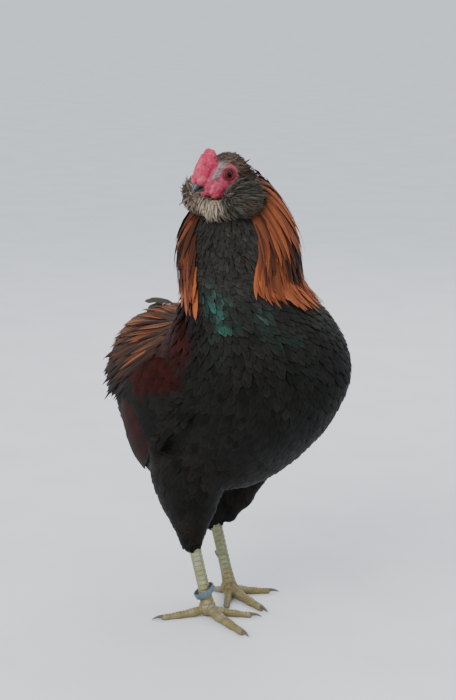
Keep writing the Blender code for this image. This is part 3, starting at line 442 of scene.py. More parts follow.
def in_wing(points):
    """Where points on the body lie under a folded wing: their distances along it and up across it."""
    ahead = -(points[:, 1] - SHIFT.y) - SHOULDER_AHEAD
    up = points[:, 2] - SHIFT.z - SHOULDER_UP
    along = -ahead * math.cos(WING_SLOPE) - up * math.sin(WING_SLOPE)
    across = -ahead * math.sin(WING_SLOPE) + up * math.cos(WING_SLOPE)
    return along, across


def thinned(points, gaps):
    """The rows of points to keep, so that none lies closer to an earlier one than its own gap."""
    cell = float(gaps.max())
    taken = {}
    kept = []
    steps = [(x, y, z) for x in (-1, 0, 1) for y in (-1, 0, 1) for z in (-1, 0, 1)]
    keys = np.floor(points / cell).astype(int).tolist()
    for row, (place, gap, (i, j, k)) in enumerate(zip(points.tolist(), gaps.tolist(), keys)):
        near = (other for x, y, z in steps for other in taken.get((i + x, j + y, k + z), ()))
        if all(math.dist(other, place) >= gap for other in near):
            taken.setdefault((i, j, k), []).append(place)
            kept.append(row)
    return np.array(kept, int)


class Hide:
    """A surface that feathers grow on, met at its nearest points."""

    def __init__(self, shape):
        bmesh.ops.triangulate(shape, faces=shape.faces[:])
        self.normals = bmesh_normals(shape)
        self.spots = coordinates(shape)
        self.faces = np.array([[vert.index for vert in face.verts] for face in shape.faces])
        self.tree = BVHTree.FromBMesh(shape)
        shape.free()

    def blend(self, index, weights):
        """Points inside faces, with smooth normals."""
        corners = self.faces[index]
        spot = np.einsum("nk,nkc->nc", weights, self.spots[corners])
        return spot, unit(np.einsum("nk,nkc->nc", weights, self.normals[corners]))

    def meet(self, points):
        """The nearest places on the surface, with their normals."""
        found = [self.tree.find_nearest(point) for point in points.tolist()]
        spot = np.array([hit[0] for hit in found])
        index = np.array([hit[2] for hit in found])
        a, b, c = (self.spots[self.faces[index, corner]] for corner in range(3))
        whole = np.cross(b - a, c - a)
        square = np.maximum(dot(whole, whole), 1e-24)
        second = dot(np.cross(spot - a, c - a), whole) / square
        third = dot(np.cross(b - a, spot - a), whole) / square
        return self.blend(index, np.stack([1 - second - third, second, third], -1))

    def seeds(self, rng, tries, gap, keep, drawn=1.0):
        """Roots spread over the part of the surface that is kept, at a gap that may vary from place to
        place, and further apart upwards where drawn out."""
        a, b, c = (self.spots[self.faces[:, corner]] for corner in range(3))
        area = np.linalg.norm(np.cross(b - a, c - a), axis=-1)
        index = rng.choice(len(area), tries, p=area / area.sum())
        share, rest = np.sqrt(rng.uniform(0, 1, tries)), rng.uniform(0, 1, tries)
        spot, _ = self.blend(index, np.stack([1 - share, share * (1 - rest), share * rest], -1))
        spot = spot[keep(spot)]
        gaps = gap(spot) if callable(gap) else np.full(len(spot), gap)
        return spot[thinned(spot * np.array([1.0, 1.0, 1 / drawn]), gaps)]

    def paths(self, roots, length, shape, lie, stiff=0.0, slack=0.0, droop=0.0):
        """Walks quills from their roots over the surface, the way that the feathers lie.

        Stiff quills keep their way, and may leave the surface by the slack towards their tips. Gives
        the points and normals at the shares of the length that the feather's shape names.
        """
        steps = 10
        stride = (length / steps)[:, None]
        point, normal = self.meet(roots)
        way = lie(point, normal)
        heading = unit(way - normal * dot(way, normal)[:, None])
        places, normals = [point], [normal]
        for step in range(steps):
            free = point + heading * stride
            spot, normal = self.meet(free)
            off = np.clip(dot(free - spot, normal), 0, slack * (step + 1) / steps)
            point = spot + normal * off[:, None]
            moved = unit(point - places[-1])
            way = lie(spot, normal)
            way = unit(way - normal * dot(way, normal)[:, None])
            heading = unit(moved * stiff + way * (1 - stiff) + np.array([0, 0, -droop]))
            places.append(point)
            normals.append(unit(normal - moved * dot(normal, moved)[:, None]))
        row = shares_of(shape) * steps
        low = np.minimum(row.astype(int), steps - 1)
        part = (row - low)[None, :, None]
        places, normals = np.stack(places, 1), np.stack(normals, 1)
        return (
            places[:, low] * (1 - part) + places[:, low + 1] * part,
            unit(normals[:, low] * (1 - part) + normals[:, low + 1] * part),
        )


def turned(ways, normals, turn):
    """Ways turned in the surface by an angle each."""
    return ways * np.cos(turn)[:, None] + np.cross(normals, ways) * np.sin(turn)[:, None]


def face_out(shape):
    """Turns a shape's faces outwards."""
    bmesh.ops.recalc_face_normals(shape, faces=shape.faces[:])


def close_ends(shape):
    """Fills the open ends of a shape, and turns its faces outwards."""
    bmesh.ops.holes_fill(shape, edges=shape.edges[:], sides=0)
    face_out(shape)


def tube(rows, corners):
    """A closed bmesh tube, one unit a row, made by extruding a ring of corners, and its rings."""
    shape = bmesh.new()
    rings = [bmesh.ops.create_circle(shape, segments=corners, radius=1.0)["verts"]]
    edges = shape.edges[:]
    for _ in range(rows - 1):
        grown = bmesh.ops.extrude_edge_only(shape, edges=edges)["geom"]
        rings.append([item for item in grown if isinstance(item, bmesh.types.BMVert)])
        edges = [item for item in grown if isinstance(item, bmesh.types.BMEdge)]
        bmesh.ops.translate(shape, verts=rings[-1], vec=(0, 0, 1))
    close_ends(shape)
    return shape, rings


class Pattern:
    """The faces of one closed vane, and the row and column of each of its corners."""

    def __init__(self, rows, corners):
        shape, _ = tube(rows, corners)
        shape.verts.index_update()
        self.row = np.array([round(vert.co.z) for vert in shape.verts])
        turns = [math.atan2(vert.co.y, vert.co.x) / math.tau * corners for vert in shape.verts]
        self.column = np.array([round(turn) % corners for turn in turns])
        self.faces = [[vert.index for vert in face.verts] for face in shape.faces]
        shape.free()


class Coat:
    """Many vanes gathered into one mesh piece, with what their material needs to know."""

    def __init__(self, name):
        self.name = name
        self.batches = []

    def add(self, points, normals, wide, shape, lifts, colours, roots, rng, corners=5, cup=0.22,
            ragged=0.05, tilt=0.0):
        """Adds vanes along quills, given as points and normals of one row a place of their shape."""
        count = len(points)
        pattern = Pattern(len(shape), corners)
        row = pattern.row
        shares, widths = np.array(shape).T
        side = unit(np.cross(np.gradient(points, axis=1), normals))
        middle = points + normals * lifts[..., None]
        across = -1 + 2 * pattern.column / (corners - 1)
        reach = np.broadcast_to(wide, (count,))[:, None] * widths[None, row]
        reach = reach * (1 + ragged * rng.standard_normal((count, len(row))) * (np.abs(across) > 0.9))
        bulge = cup * (1 - across ** 2) + tilt * across
        spots = middle[:, row] + side[:, row] * (across * reach)[..., None]
        spots = spots + normals[:, row] * (reach * bulge)[..., None]
        length = np.linalg.norm(np.diff(points, axis=1), axis=-1).sum(1)
        tint = rng.uniform(0, 1, count)
        values = {
            "share": np.stack(np.broadcast_arrays(across, shares[row], tint[:, None]), -1),
            "vane": np.stack([across * reach, shares[row] * length[:, None], reach], -1) * 1000,
        }
        for key, colour in colours.items():
            values[key + "_tone"] = np.repeat(colour, len(row), axis=0)
        first = spots[0]
        volume = sum(
            np.dot(first[face[0]], np.cross(first[second], first[third]))
            for face in pattern.faces for second, third in zip(face[1:], face[2:])
        )
        faces = [face[::-1] if volume < 0 else face for face in pattern.faces]
        patch = np.stack([0.5 * across, shares[row] - 0.5], -1) * BAKE_PATCH
        self.batches.append((spots, faces, roots[:, None] + patch, values))
        return self

    def build(self, kind, slot, replaced=()):
        """Makes the one mesh of all its vanes, in a kind of plumage."""
        spots, corners, totals, uvs, values = [], [], [], [], {}
        base = 0
        for points, faces, where, given in self.batches:
            count, size = points.shape[:2]
            order = np.concatenate(faces)
            spots.append(points.reshape(-1, 3))
            corners.append((order + size * np.arange(count)[:, None] + base).ravel())
            totals.append(np.tile([len(face) for face in faces], count))
            uvs.append(where[:, order].reshape(-1, 2))
            for key, value in given.items():
                values.setdefault(key, []).append(value.reshape(-1, value.shape[-1]))
            base += count * size
        totals = np.concatenate(totals)
        mesh = bpy.data.meshes.new(self.name)
        mesh.vertices.add(base)
        mesh.vertices.foreach_set("co", np.concatenate(spots).astype(np.float32).ravel())
        mesh.loops.add(int(totals.sum()))
        mesh.loops.foreach_set("vertex_index", np.concatenate(corners).astype(np.int32))
        mesh.polygons.add(len(totals))
        mesh.polygons.foreach_set("loop_start", (np.cumsum(totals) - totals).astype(np.int32))
        mesh.update(calc_edges=True)
        layer = mesh.uv_layers.new(name="OFBake")
        layer.data.foreach_set("uv", np.concatenate(uvs).astype(np.float32).ravel())
        for key, parts in values.items():
            add_values(mesh, key, np.concatenate(parts))
        place_piece(mesh, plumage_material(kind), replaced, SHARP_VANE)


def add_values(mesh, name, values):
    """Values at a mesh's points: a colour where each has four parts, or else a vector."""
    kind, key = ("FLOAT_COLOR", "color") if values.shape[1] == 4 else ("FLOAT_VECTOR", "vector")
    attribute = mesh.attributes.new(name, kind, "POINT")
    attribute.data.foreach_set(key, values.astype(np.float32).ravel())


def place_piece(mesh, material, replaced, sharp=None):
    """Puts a finished piece in the scene, on the bird's one body."""
    mesh.shade_smooth()
    if sharp:
        mesh.set_sharp_from_angle(angle=sharp)
    mesh.materials.append(material)
    thing = bpy.data.objects.new(mesh.name, mesh)
    bpy.context.scene.collection.objects.link(thing)
    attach(thing, "root")
    if replaced:
        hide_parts(*replaced)


def finish_piece(name, shape, material, slot, replaced, sharp=None, **values):
    """Makes a finished piece of a bmesh, with values for its material at its points."""
    mesh = bpy.data.meshes.new(name)
    shape.to_mesh(mesh)
    shape.free()
    for key, value in values.items():
        add_values(mesh, key, value)
    place_piece(mesh, material, replaced, sharp)


def tones(count, root, tip, streak, strength, tip_from, gloss=0.0):
    """The colours of a batch of vanes. The streak's alpha is its strength, the tip's where it starts,
    and the root's how green it gleams."""
    blocks = {}
    parts = (("root", root, gloss), ("tip", tip, tip_from), ("streak", streak, strength))
    for key, colour, last in parts:
        blocks[key] = np.zeros((count, 4))
        blocks[key][:, :3] = colour
        blocks[key][:, 3] = last
    return blocks


def shaken(colour, rng, count, amount):
    """One colour for each vane, a little lighter or darker."""
    factor = 1 + amount * rng.standard_normal(count)[:, None]
    return np.clip(np.broadcast_to(colour, (count, 3)) * np.clip(factor, 0.35, 2.0), 0, 1)


def mixed(first, second, share):
    """A blend of two colours for each share of the second."""
    share = np.asarray(share)[:, None]
    return first * (1 - share) + second * share


def body_unwrap(points):
    """Roots as places on an unwrap of the body: the angle round it, and the place along it."""
    t, angle, _ = on_body(points)
    return np.stack([0.02 + 0.96 * (angle / math.tau + 0.5), 0.02 + 0.96 * t / 16], -1)


def head_unwrap(points):
    """Roots as places on an unwrap of the head: the angle round it, and the height on it."""
    local = to_head(points)
    turn = np.arctan2(local[:, 0], local[:, 1]) / math.tau + 0.5
    return np.stack([0.02 + 0.96 * turn, np.clip(0.5 + local[:, 2] / 0.11, 0.02, 0.98)], -1)


def shares_of(shape):
    """The places along the feather at which its outline gives a width."""
    return np.array([share for share, _ in shape])


def beyond(spot, middle, size):
    """How far places lie from a middle, in shares of a half size each way."""
    return np.linalg.norm((spot - np.array(middle)) / np.array(size), axis=-1)


def rising(shape, root, clear, tip):
    """How high each row of a vane lies: sunk at its root, clear of the skin, and rising to its tip."""
    shares = shares_of(shape)
    start = smooth_step(0.0, 0.25, shares)
    return root + (clear - root) * start + (tip - clear) * shares ** 1.3


def lifts_for(rows, rng, jitter, long):
    """The same rise for every vane of a batch, in shares of its length, each a little off."""
    long = long[:, None]
    return long * rows + jitter * rng.standard_normal(long.shape) * np.linspace(0, 1, len(rows))


def tuft_lifts(root, long, rise):
    """How high the rows of tufts lie, in shares of their length, from the height of their roots."""
    return root + (long * rise)[:, None] * shares_of(TUFT_SHAPE) ** 1.2


class Nodes:
    """A short way to write a node tree."""

    def __init__(self, tree):
        self.tree = tree

    def add(self, kind, **values):
        node = self.tree.nodes.new(kind)
        for key, value in values.items():
            setattr(node, key, value)
        return node

    def put(self, value, socket):
        """Links an output to a socket, or sets the socket to a number, vector or colour."""
        if isinstance(value, bpy.types.NodeSocket):
            self.tree.links.new(value, socket)
        elif socket.type == "RGBA":
            socket.default_value = (*value, 1.0)[:4]
        else:
            socket.default_value = value

    def made(self, kind, sockets, output=0, **values):
        """Adds a node, fills its sockets and gives one of its outputs."""
        node = self.add(kind, **values)
        for key, value in sockets.items():
            self.put(value, node.inputs[key])
        return node.outputs[output]

    def math(self, operation, *values, clamp=False):
        return self.made("ShaderNodeMath", dict(enumerate(values)), operation=operation, use_clamp=clamp)

    def ramp(self, value, low, high, first=0.0, last=1.0):
        sockets = {"Value": value, "From Min": low, "From Max": high, "To Min": first, "To Max": last}
        return self.made("ShaderNodeMapRange", sockets, "Result", interpolation_type="SMOOTHSTEP")

    def mix(self, share, first, second, blend="MIX"):
        sockets = {0: share, 6: first, 7: second}
        return self.made("ShaderNodeMix", sockets, 2, data_type="RGBA", blend_type=blend)

    def partly(self, value, low, high, most, first, second):
        """A blend of two colours, up to its most where a value passes from low to high."""
        return self.mix(self.math("MULTIPLY", self.ramp(value, low, high), most), first, second)

    def noise(self, vector, scale, detail=2.0, rough=0.5):
        sockets = {"Vector": vector, "Scale": scale, "Detail": detail, "Roughness": rough}
        return self.made("ShaderNodeTexNoise", sockets, "Fac")

    def place(self):
        return self.add("ShaderNodeTexCoord").outputs["Object"]

    def attribute(self, name):
        return self.add("ShaderNodeAttribute", attribute_name=name).outputs

    def split(self, vector):
        node = self.add("ShaderNodeSeparateXYZ")
        self.put(vector, node.inputs[0])
        return node.outputs

    def join(self, *parts):
        return self.made("ShaderNodeCombineXYZ", dict(enumerate(parts)))

    def group(self, tree, **sockets):
        """Places a shader group, with its sockets by name and _ for a blank, and gives its outputs."""
        node = self.add("ShaderNodeGroup", node_tree=tree, label=tree.name)
        for key, value in sockets.items():
            self.put(value, node.inputs[key.replace("_", " ")])
        return node.outputs


NUMBER = "NodeSocketFloat"
COLOUR = "NodeSocketColor"
VECTOR = "NodeSocketVector"


def shared_group(name, inputs, outputs, fill):
    """The shader group of a name, built on its first use. Inputs are given as name, kind and perhaps a
    default, outputs as name and kind, and a function makes the outputs' values from the inputs."""
    tree = bpy.data.node_groups.get(name)
    if tree:
        return tree
    tree = bpy.data.node_groups.new(name, "ShaderNodeTree")
    for way, sockets in (("INPUT", inputs), ("OUTPUT", outputs)):
        for socket, kind, *value in sockets:
            made = tree.interface.new_socket(name=socket, in_out=way, socket_type=kind)
            if value:
                made.default_value = value[0]
    n = Nodes(tree)
    end = n.add("NodeGroupOutput")
    for socket, value in fill(n, n.add("NodeGroupInput").outputs).items():
        n.put(value, end.inputs[socket])
    return tree


def vane_group():
    """The barbs of a feather and its relief with the quill, from the feather's own coordinates."""
    def fill(n, given):
        _, _, tint = n.split(given["Share"])
        wide_mm, long_mm, _ = n.split(given["Vane"])
        apart = n.math("ABSOLUTE", wide_mm)
        slant = n.math("MULTIPLY", apart, given["Slant"])
        wobble = n.math("MULTIPLY", n.noise(n.join(wide_mm, long_mm, tint), 0.9), 0.8)
        place = n.math("ADD", n.math("SUBTRACT", long_mm, slant), wobble)
        turns = n.math("DIVIDE", n.math("MULTIPLY", place, math.tau), given["Barb spacing"])
        barbs = n.math("MULTIPLY_ADD", n.math("SINE", turns), 0.5, 0.5)
        quill = n.ramp(apart, 0.16, 0.42, 1.0, 0.0)
        return {"Barbs": barbs, "Height": n.math("ADD", n.math("MULTIPLY", barbs, 0.35), quill)}

    return shared_group(
        "Feather vane",
        (("Share", VECTOR), ("Vane", VECTOR), ("Barb spacing", NUMBER, 0.5), ("Slant", NUMBER, 1.2)),
        (("Barbs", NUMBER), ("Height", NUMBER)), fill,
    )


def plume_group():
    """The colour of a feather from its root's, tip's and streak's tones."""
    def fill(n, given):
        across, along, tint = n.split(given["Share"])
        wide_mm, long_mm, _ = n.split(given["Vane"])
        drawn = n.join(n.math("MULTIPLY", wide_mm, 1.6), n.math("MULTIPLY", long_mm, 0.22), tint)
        drift = n.noise(drawn, 1.0, 3.0, 0.6)
        shift = n.math("MULTIPLY_ADD", drift, 0.24, -0.12)
        low = n.math("SUBTRACT", given["Tip from"], 0.20)
        high = n.math("ADD", given["Tip from"], 0.26)
        ground = n.mix(n.ramp(n.math("ADD", along, shift), low, high), given["Root"], given["Tip"])
        middle = n.ramp(n.math("ADD", n.math("ABSOLUTE", across), shift), 0.16, 0.52, 1.0, 0.0)
        line = n.math("MULTIPLY", middle, n.ramp(along, 0.12, 0.45))
        streak = n.math("MULTIPLY", line, given["Streak strength"], clamp=True)
        # Painted shade between the barbs and a painted highlight on them; the drift varies the colour at
        # random
        fine = n.math("MULTIPLY_ADD", given["Barbs"], 0.22, 0.86)
        shade = n.math("MULTIPLY", n.math("MULTIPLY_ADD", drift, 0.7, 0.62), fine)
        marked = n.mix(streak, ground, given["Streak"])
        return {"Color": n.mix(1.0, marked, n.join(shade, shade, shade), "MULTIPLY"), "Wear": drift}

    return shared_group(
        "Feather colour",
        (("Root", COLOUR), ("Tip", COLOUR), ("Streak", COLOUR), ("Tip from", NUMBER, 0.6),
         ("Streak strength", NUMBER), ("Share", VECTOR), ("Vane", VECTOR), ("Barbs", NUMBER, 0.5)),
        (("Color", COLOUR), ("Wear", NUMBER)), fill,
    )


def new_material(name, colour, roughness, **sockets):
    """A material with its node tree and its Principled shader, whose sockets take _ for a blank."""
    material = bpy.data.materials.new(name)
    material.use_nodes = True
    material.diffuse_color = (*colour, 1.0)
    n = Nodes(material.node_tree)
    shader = n.tree.nodes["Principled BSDF"]
    for key, value in {"Base_Color": colour, "Roughness": roughness, **sockets}.items():
        n.put(value, shader.inputs[key.replace("_", " ")])
    return material, n, shader


def dress(n, shader, colour, wear, rough, height, bump, deep):
    """Gives a shader its colour, a roughness of wear times a swing plus a base, and a fine relief."""
    n.put(colour, shader.inputs["Base Color"])
    n.put(n.math("MULTIPLY_ADD", wear, *rough), shader.inputs["Roughness"])
    relief = n.made("ShaderNodeBump", {"Height": height, "Strength": bump, "Distance": deep})
    n.put(relief, shader.inputs["Normal"])


# Each kind of plumage: its roughness, barb spacing in mm, bump, sheen, gleam and specular level
PLUMAGE = {
    "Black plumage": (0.56, 0.50, 0.20, 0.0, 1.0, 0.05),
    "Hackle plumage": (0.50, 0.40, 0.25, 0.0, 0.3, 0.06),
    "Wing plumage": (0.58, 0.55, 0.30, 0.0, 0.8, 0.03),
    "Head plumage": (0.80, 0.30, 0.10, 0.05, 0.0, 0.06),
}


def plumage_material(name):
    """A feather material that reads the tones that its vanes carry."""
    material = bpy.data.materials.get(name)
    if material:
        return material
    roughness, spacing, bump, sheen, metal, specular = PLUMAGE[name]
    material, n, shader = new_material(
        name, (0.1, 0.1, 0.1), roughness, Sheen_Weight=sheen, Sheen_Roughness=0.4,
        Specular_IOR_Level=specular,
    )
    share, vane = (n.attribute(key)["Vector"] for key in ("share", "vane"))
    root, tip, streak = (n.attribute(key + "_tone") for key in ("root", "tip", "streak"))
    barbs = n.group(vane_group(), Share=share, Vane=vane, Barb_spacing=spacing)
    plume = n.group(
        plume_group(), Root=root["Color"], Tip=tip["Color"], Streak=streak["Color"], Tip_from=tip["Alpha"],
        Streak_strength=streak["Alpha"], Share=share, Vane=vane, Barbs=barbs["Barbs"],
    )
    if metal:
        n.put(n.math("MULTIPLY", root["Alpha"], metal, clamp=True), shader.inputs["Metallic"])
    rough = (0.26, roughness - 0.13)
    dress(n, shader, plume["Color"], plume["Wear"], rough, barbs["Height"], bump, 0.0002)
    return material


def pebble_group():
    """Fine pebbles and folds of bare skin, with uneven blood colour."""
    def fill(n, given):
        place = n.place()
        sockets = {"Vector": place, "Scale": given["Pebble size"]}
        cells = n.made("ShaderNodeTexVoronoi", sockets, "Distance", feature="F1")
        dome = n.ramp(cells, 0.0, 0.75, 1.0, 0.0)
        flush = n.noise(place, 260.0, 4.0, 0.6)
        red = n.mix(n.ramp(flush, 0.35, 0.68), given["Deep"], given["Tone"])
        pale = n.partly(n.noise(place, 75.0), 0.50, 0.75, 0.55, red, given["Pale"])
        lit = n.mix(n.math("MULTIPLY", dome, 0.30), pale, given["Pale"])
        height = n.math("ADD", n.math("MULTIPLY", dome, 0.6), flush)
        return {"Color": lit, "Height": height, "Wear": flush}

    return shared_group(
        "Bare skin",
        (("Pebble size", NUMBER, 1400.0), ("Deep", COLOUR), ("Pale", COLOUR), ("Tone", COLOUR)),
        (("Color", COLOUR), ("Height", NUMBER), ("Wear", NUMBER)), fill,
    )


def skin_material(colours):
    """Bare face skin, with the plumage's tones, darkened as painted shade, where feathers cover it."""
    material, n, shader = new_material(
        "Skin", colours.face, 0.5, Specular_IOR_Level=0.4, Subsurface_Weight=0.12,
        Subsurface_Radius=(0.004, 0.0014, 0.0010), Subsurface_Scale=0.6,
    )
    tone = n.attribute("skin_tone")
    pebbles = n.group(
        pebble_group(), Pebble_size=1150.0, Deep=colours.face_deep, Pale=colours.face_pale,
        Tone=tone["Color"],
    )
    colour = n.mix(tone["Alpha"], tone["Color"], pebbles["Color"])
    dress(n, shader, colour, pebbles["Wear"], (0.3, 0.34), pebbles["Height"], 0.5, 0.0004)
    return material


def horn_group():
    """Long faint growth streaks of horn, with fine scratches."""
    def fill(n, given):
        place = n.place()
        drawn = n.made("ShaderNodeVectorMath", {0: place, 1: given["Stretch"]}, operation="MULTIPLY")
        streaks = n.noise(drawn, 500.0, 4.0, 0.65)
        clouds = n.noise(place, 160.0, 3.0)
        mask = n.math("MULTIPLY", n.ramp(streaks, 0.42, 0.70), 0.5)
        mask = n.math("ADD", mask, n.math("MULTIPLY", n.ramp(clouds, 0.50, 0.72), 0.4), clamp=True)
        return {"Color": n.mix(mask, given["Base"], given["Light"]), "Height": streaks, "Wear": clouds}

    return shared_group(
        "Horn", (("Base", COLOUR), ("Light", COLOUR), ("Stretch", VECTOR, (1.0, 1.0, 1.0))),
        (("Color", COLOUR), ("Height", NUMBER), ("Wear", NUMBER)), fill,
    )


def horn_material(name, base, light, roughness, stretch):
    """Horn with its streaks stretched along an axis."""
    material, n, shader = new_material(name, base, roughness)
    horn = n.group(horn_group(), Base=base, Light=light, Stretch=stretch)
    rough = (0.3, roughness - 0.15)
    dress(n, shader, horn["Color"], horn["Wear"], rough, horn["Height"], 0.25, 0.0002)
    return material


def eye_material(colours):
    """A dark pupil in a streaked iris, under a wet clear coat, read from the distance to the axis."""
    material, n, shader = new_material(
        "Eye", colours.iris, 0.25, Coat_Weight=0.14, Coat_Roughness=0.03, Specular_IOR_Level=0.08,
    )
    off, across, along = n.split(n.attribute("gaze")["Vector"])
    streaks = n.ramp(n.noise(n.join(across, along, 0.0), 9.0), 0.38, 0.62)
    iris = n.mix(streaks, colours.iris, colours.iris_light)
    ringed = n.mix(n.ramp(off, 0.66, 0.80), iris, (0.02, 0.012, 0.01))
    pupil = n.ramp(off, 0.40, 0.44, 1.0, 0.0)
    n.put(n.mix(pupil, ringed, (0.002, 0.002, 0.002)), shader.inputs["Base Color"])
    return material


def leg_material(colours):
    """Scaled leg skin, paler on the shank and olive on the toes, darker in the grooves between the scales."""
    material, n, shader = new_material("Leg scales", colours.shank, 0.5)
    tone = n.attribute("skin_tone")
    place = n.place()
    fine = n.noise(place, 900.0, 3.0, 0.6)
    light = n.partly(n.noise(place, 120.0, 3.0), 0.42, 0.70, 0.35, tone["Color"], colours.foot_light)
    aged = n.partly(fine, 0.50, 0.72, 0.25, light, colours.foot_dark)
    # Darker in the grooves between the scales, which the points' alpha gives
    colour = n.mix(n.math("MULTIPLY", tone["Alpha"], 0.75), aged, colours.foot_dark)
    dress(n, shader, colour, fine, (0.3, 0.34), fine, 0.3, 0.0002)
    return material


def band_material(colours):
    """The leg ring: worn blue-grey plastic with pale scuffs and dark patches."""
    material, n, shader = new_material("Leg ring", colours.band, 0.45)
    place = n.place()
    scuffs = n.noise(place, 700.0, 5.0, 0.7)
    worn = n.partly(scuffs, 0.52, 0.68, 0.5, colours.band, colours.band_light)
    colour = n.partly(n.noise(place, 140.0, 3.0), 0.50, 0.70, 0.5, worn, colours.foot_dark)
    dress(n, shader, colour, scuffs, (0.35, 0.28), scuffs, 0.2, 0.0001)
    return material


def loft_mesh(patch, places, sides, lift=0.0):
    """A closed bmesh over a patch that goes right round, from a grid whose ends are then filled."""
    shape = bmesh.new()
    levels = len(places) - 1
    bmesh.ops.create_grid(shape, x_segments=sides, y_segments=levels, size=1.0)
    flat = (coordinates(shape)[:, :2] + 1) / 2
    turn = np.round(flat[:, 0] * sides) % sides
    level = np.round(flat[:, 1] * levels).astype(int)
    lifts = np.broadcast_to(lift, len(places))[level]
    set_coordinates(shape, patch.point(places[level], math.tau * turn / sides, lifts[:, None]))
    bmesh.ops.remove_doubles(shape, verts=shape.verts[:], dist=1e-6)
    close_ends(shape)
    return shape


def add_ball(shape, centre, size, place, rounds=3):
    """Adds an oval ball to a bmesh, in a frame of its own."""
    ball = bmesh.ops.create_icosphere(shape, subdivisions=rounds, radius=1.0)["verts"]
    bmesh.ops.transform(shape, matrix=Matrix.Diagonal((*size, 1.0)), verts=ball)
    bmesh.ops.transform(shape, matrix=place @ Matrix.Translation(centre), verts=ball)


def add_lobe(shape, lobe, side=1, depth=0.0):
    """Adds one of the head's lobes, or its mirror image, a depth inside its outline."""
    left, ahead, up, *size = lobe
    add_ball(shape, in_head(side * left, ahead, up), [half - depth for half in size], HEAD_PLACE)


def merge_in(shape, other):
    """Adds one bmesh to another, and frees it."""
    mesh = bpy.data.meshes.new("part")
    other.to_mesh(mesh)
    other.free()
    shape.from_mesh(mesh)
    bpy.data.meshes.remove(mesh)


def changed(shape, *steps):
    """A shape after some modifiers, each given as its kind and its settings."""
    mesh = bpy.data.meshes.new("changed")
    shape.to_mesh(mesh)
    shape.free()
    thing = bpy.data.objects.new("changed", mesh)
    bpy.context.scene.collection.objects.link(thing)
    for kind, settings in steps:
        step = thing.modifiers.new(kind, kind)
        for key, value in settings.items():
            setattr(step, key, value)
    graph = bpy.context.evaluated_depsgraph_get()
    made = bpy.data.meshes.new_from_object(thing.evaluated_get(graph))
    bpy.data.objects.remove(thing)
    bpy.data.meshes.remove(mesh)
    result = bmesh.new()
    result.from_mesh(made)
    bpy.data.meshes.remove(made)
    return result


def fused(shape, voxel, smoothing):
    """One closed surface round overlapping bodies, smoothed where they meet."""
    return changed(
        shape, ("REMESH", {"mode": "VOXEL", "voxel_size": voxel}),
        ("SMOOTH", {"factor": 0.5, "iterations": smoothing}),
    )


def coordinates(shape):
    return np.array([vert.co for vert in shape.verts])


def set_coordinates(shape, spots):
    for vert, spot in zip(shape.verts, spots):
        vert.co = spot


def bmesh_normals(shape):
    shape.normal_update()
    return np.array([vert.normal for vert in shape.verts])


def body_form(depth):
    """Body and thighs, a depth inside the outline of the coat."""
    shape = loft_mesh(BODY, np.linspace(0.0, BODY_TOP, 64), 56, -depth)
    rings = np.linspace(0.0, len(THIGH_RINGS) - 1, 22)
    for leg in SIDES:
        depths = depth * np.interp(rings, (0.0, 1.5), (0.6, 1.0))
        merge_in(shape, loft_mesh(THIGHS[leg], rings, 28, -depths))
    return shape


def coat_hide():
    """The outline that the body's feathers grow on, with the wings' fronts tucked into it."""
    shape = body_form(0.0)
    for leg in SIDES:
        merge_in(shape, wing_pad(WINGS[leg], 0.0008, 0.0085))
    for middle, size in FLANK_TUFTS:
        add_ball(shape, middle, size, Matrix.Translation(SHIFT))
    return Hide(fused(shape, HIDE_GRAIN, 14))


def long_hide():
    """The outline of body and neck that hackles grow on."""
    return Hide(fused(body_form(0.0), HIDE_GRAIN, 10))


def wing_pad(flank, lift, thickness):
    """The arm of a folded wing, which carries its quills."""
    shape = bmesh.new()
    bmesh.ops.create_grid(shape, x_segments=14, y_segments=14, size=1.0)
    flat = (coordinates(shape)[:, :2] + 1) / 2
    along = 0.006 + 0.112 * flat[:, 0]
    high, low = wing_edges(along)
    set_coordinates(shape, flank.point(along, 0.6 * low + (0.9 * high - 0.6 * low) * flat[:, 1], lift))
    face_out(shape)
    if shape.faces[0].normal.x * flank.side < 0:
        bmesh.ops.reverse_faces(shape, faces=shape.faces[:])
    bmesh.ops.solidify(shape, geom=shape.faces[:], thickness=thickness)
    return shape


def ruff_form(depth):
    """The body of muffs and beard under their tufts."""
    shape = bmesh.new()
    for lobe in RUFF_LOBES:
        add_lobe(shape, lobe, depth=depth)
    return shape


def body_tones(t, angle, colours):
    """The plumage's ground colour at places on the body: black, with orange back and dark maroon."""
    degrees = np.degrees(np.abs(angle))
    cape = smooth_step(11.0, 11.8, t) * (1 - smooth_step(104, 116, degrees))
    mantle = smooth_step(3.8, 4.6, t) * (1 - smooth_step(9.6, 10.6, t)) * (1 - smooth_step(78, 88, degrees))
    saddle = (1 - smooth_step(4.4, 5.4, t)) * (1 - smooth_step(50, 70, degrees))
    tone = mixed(colours.black, colours.hackle_deep, cape)
    return mixed(mixed(tone, colours.maroon, mantle), colours.saddle_deep, saddle)


def tint(name, description, *screen):
    """A colour setting, from the colour seen on a screen."""
    return FloatVectorProperty(
        name=name, description=description, subtype="COLOR", size=3, min=0.0, max=1.0, default=srgb(*screen),
    )


def length(name, description, metres):
    """A length setting."""
    return FloatProperty(
        name=name, description=description, subtype="DISTANCE", unit="LENGTH", min=0.0, default=metres,
    )


def angle_setting(name, description, degrees):
    """A setting for an angle."""
    return FloatProperty(
        name=name, description=description, subtype="ANGLE", unit="ROTATION", default=math.radians(degrees),
    )


def strength(name, description, value):
    """A setting for a plain number that isn't below zero."""
    return FloatProperty(name=name, description=description, min=0.0, default=value)


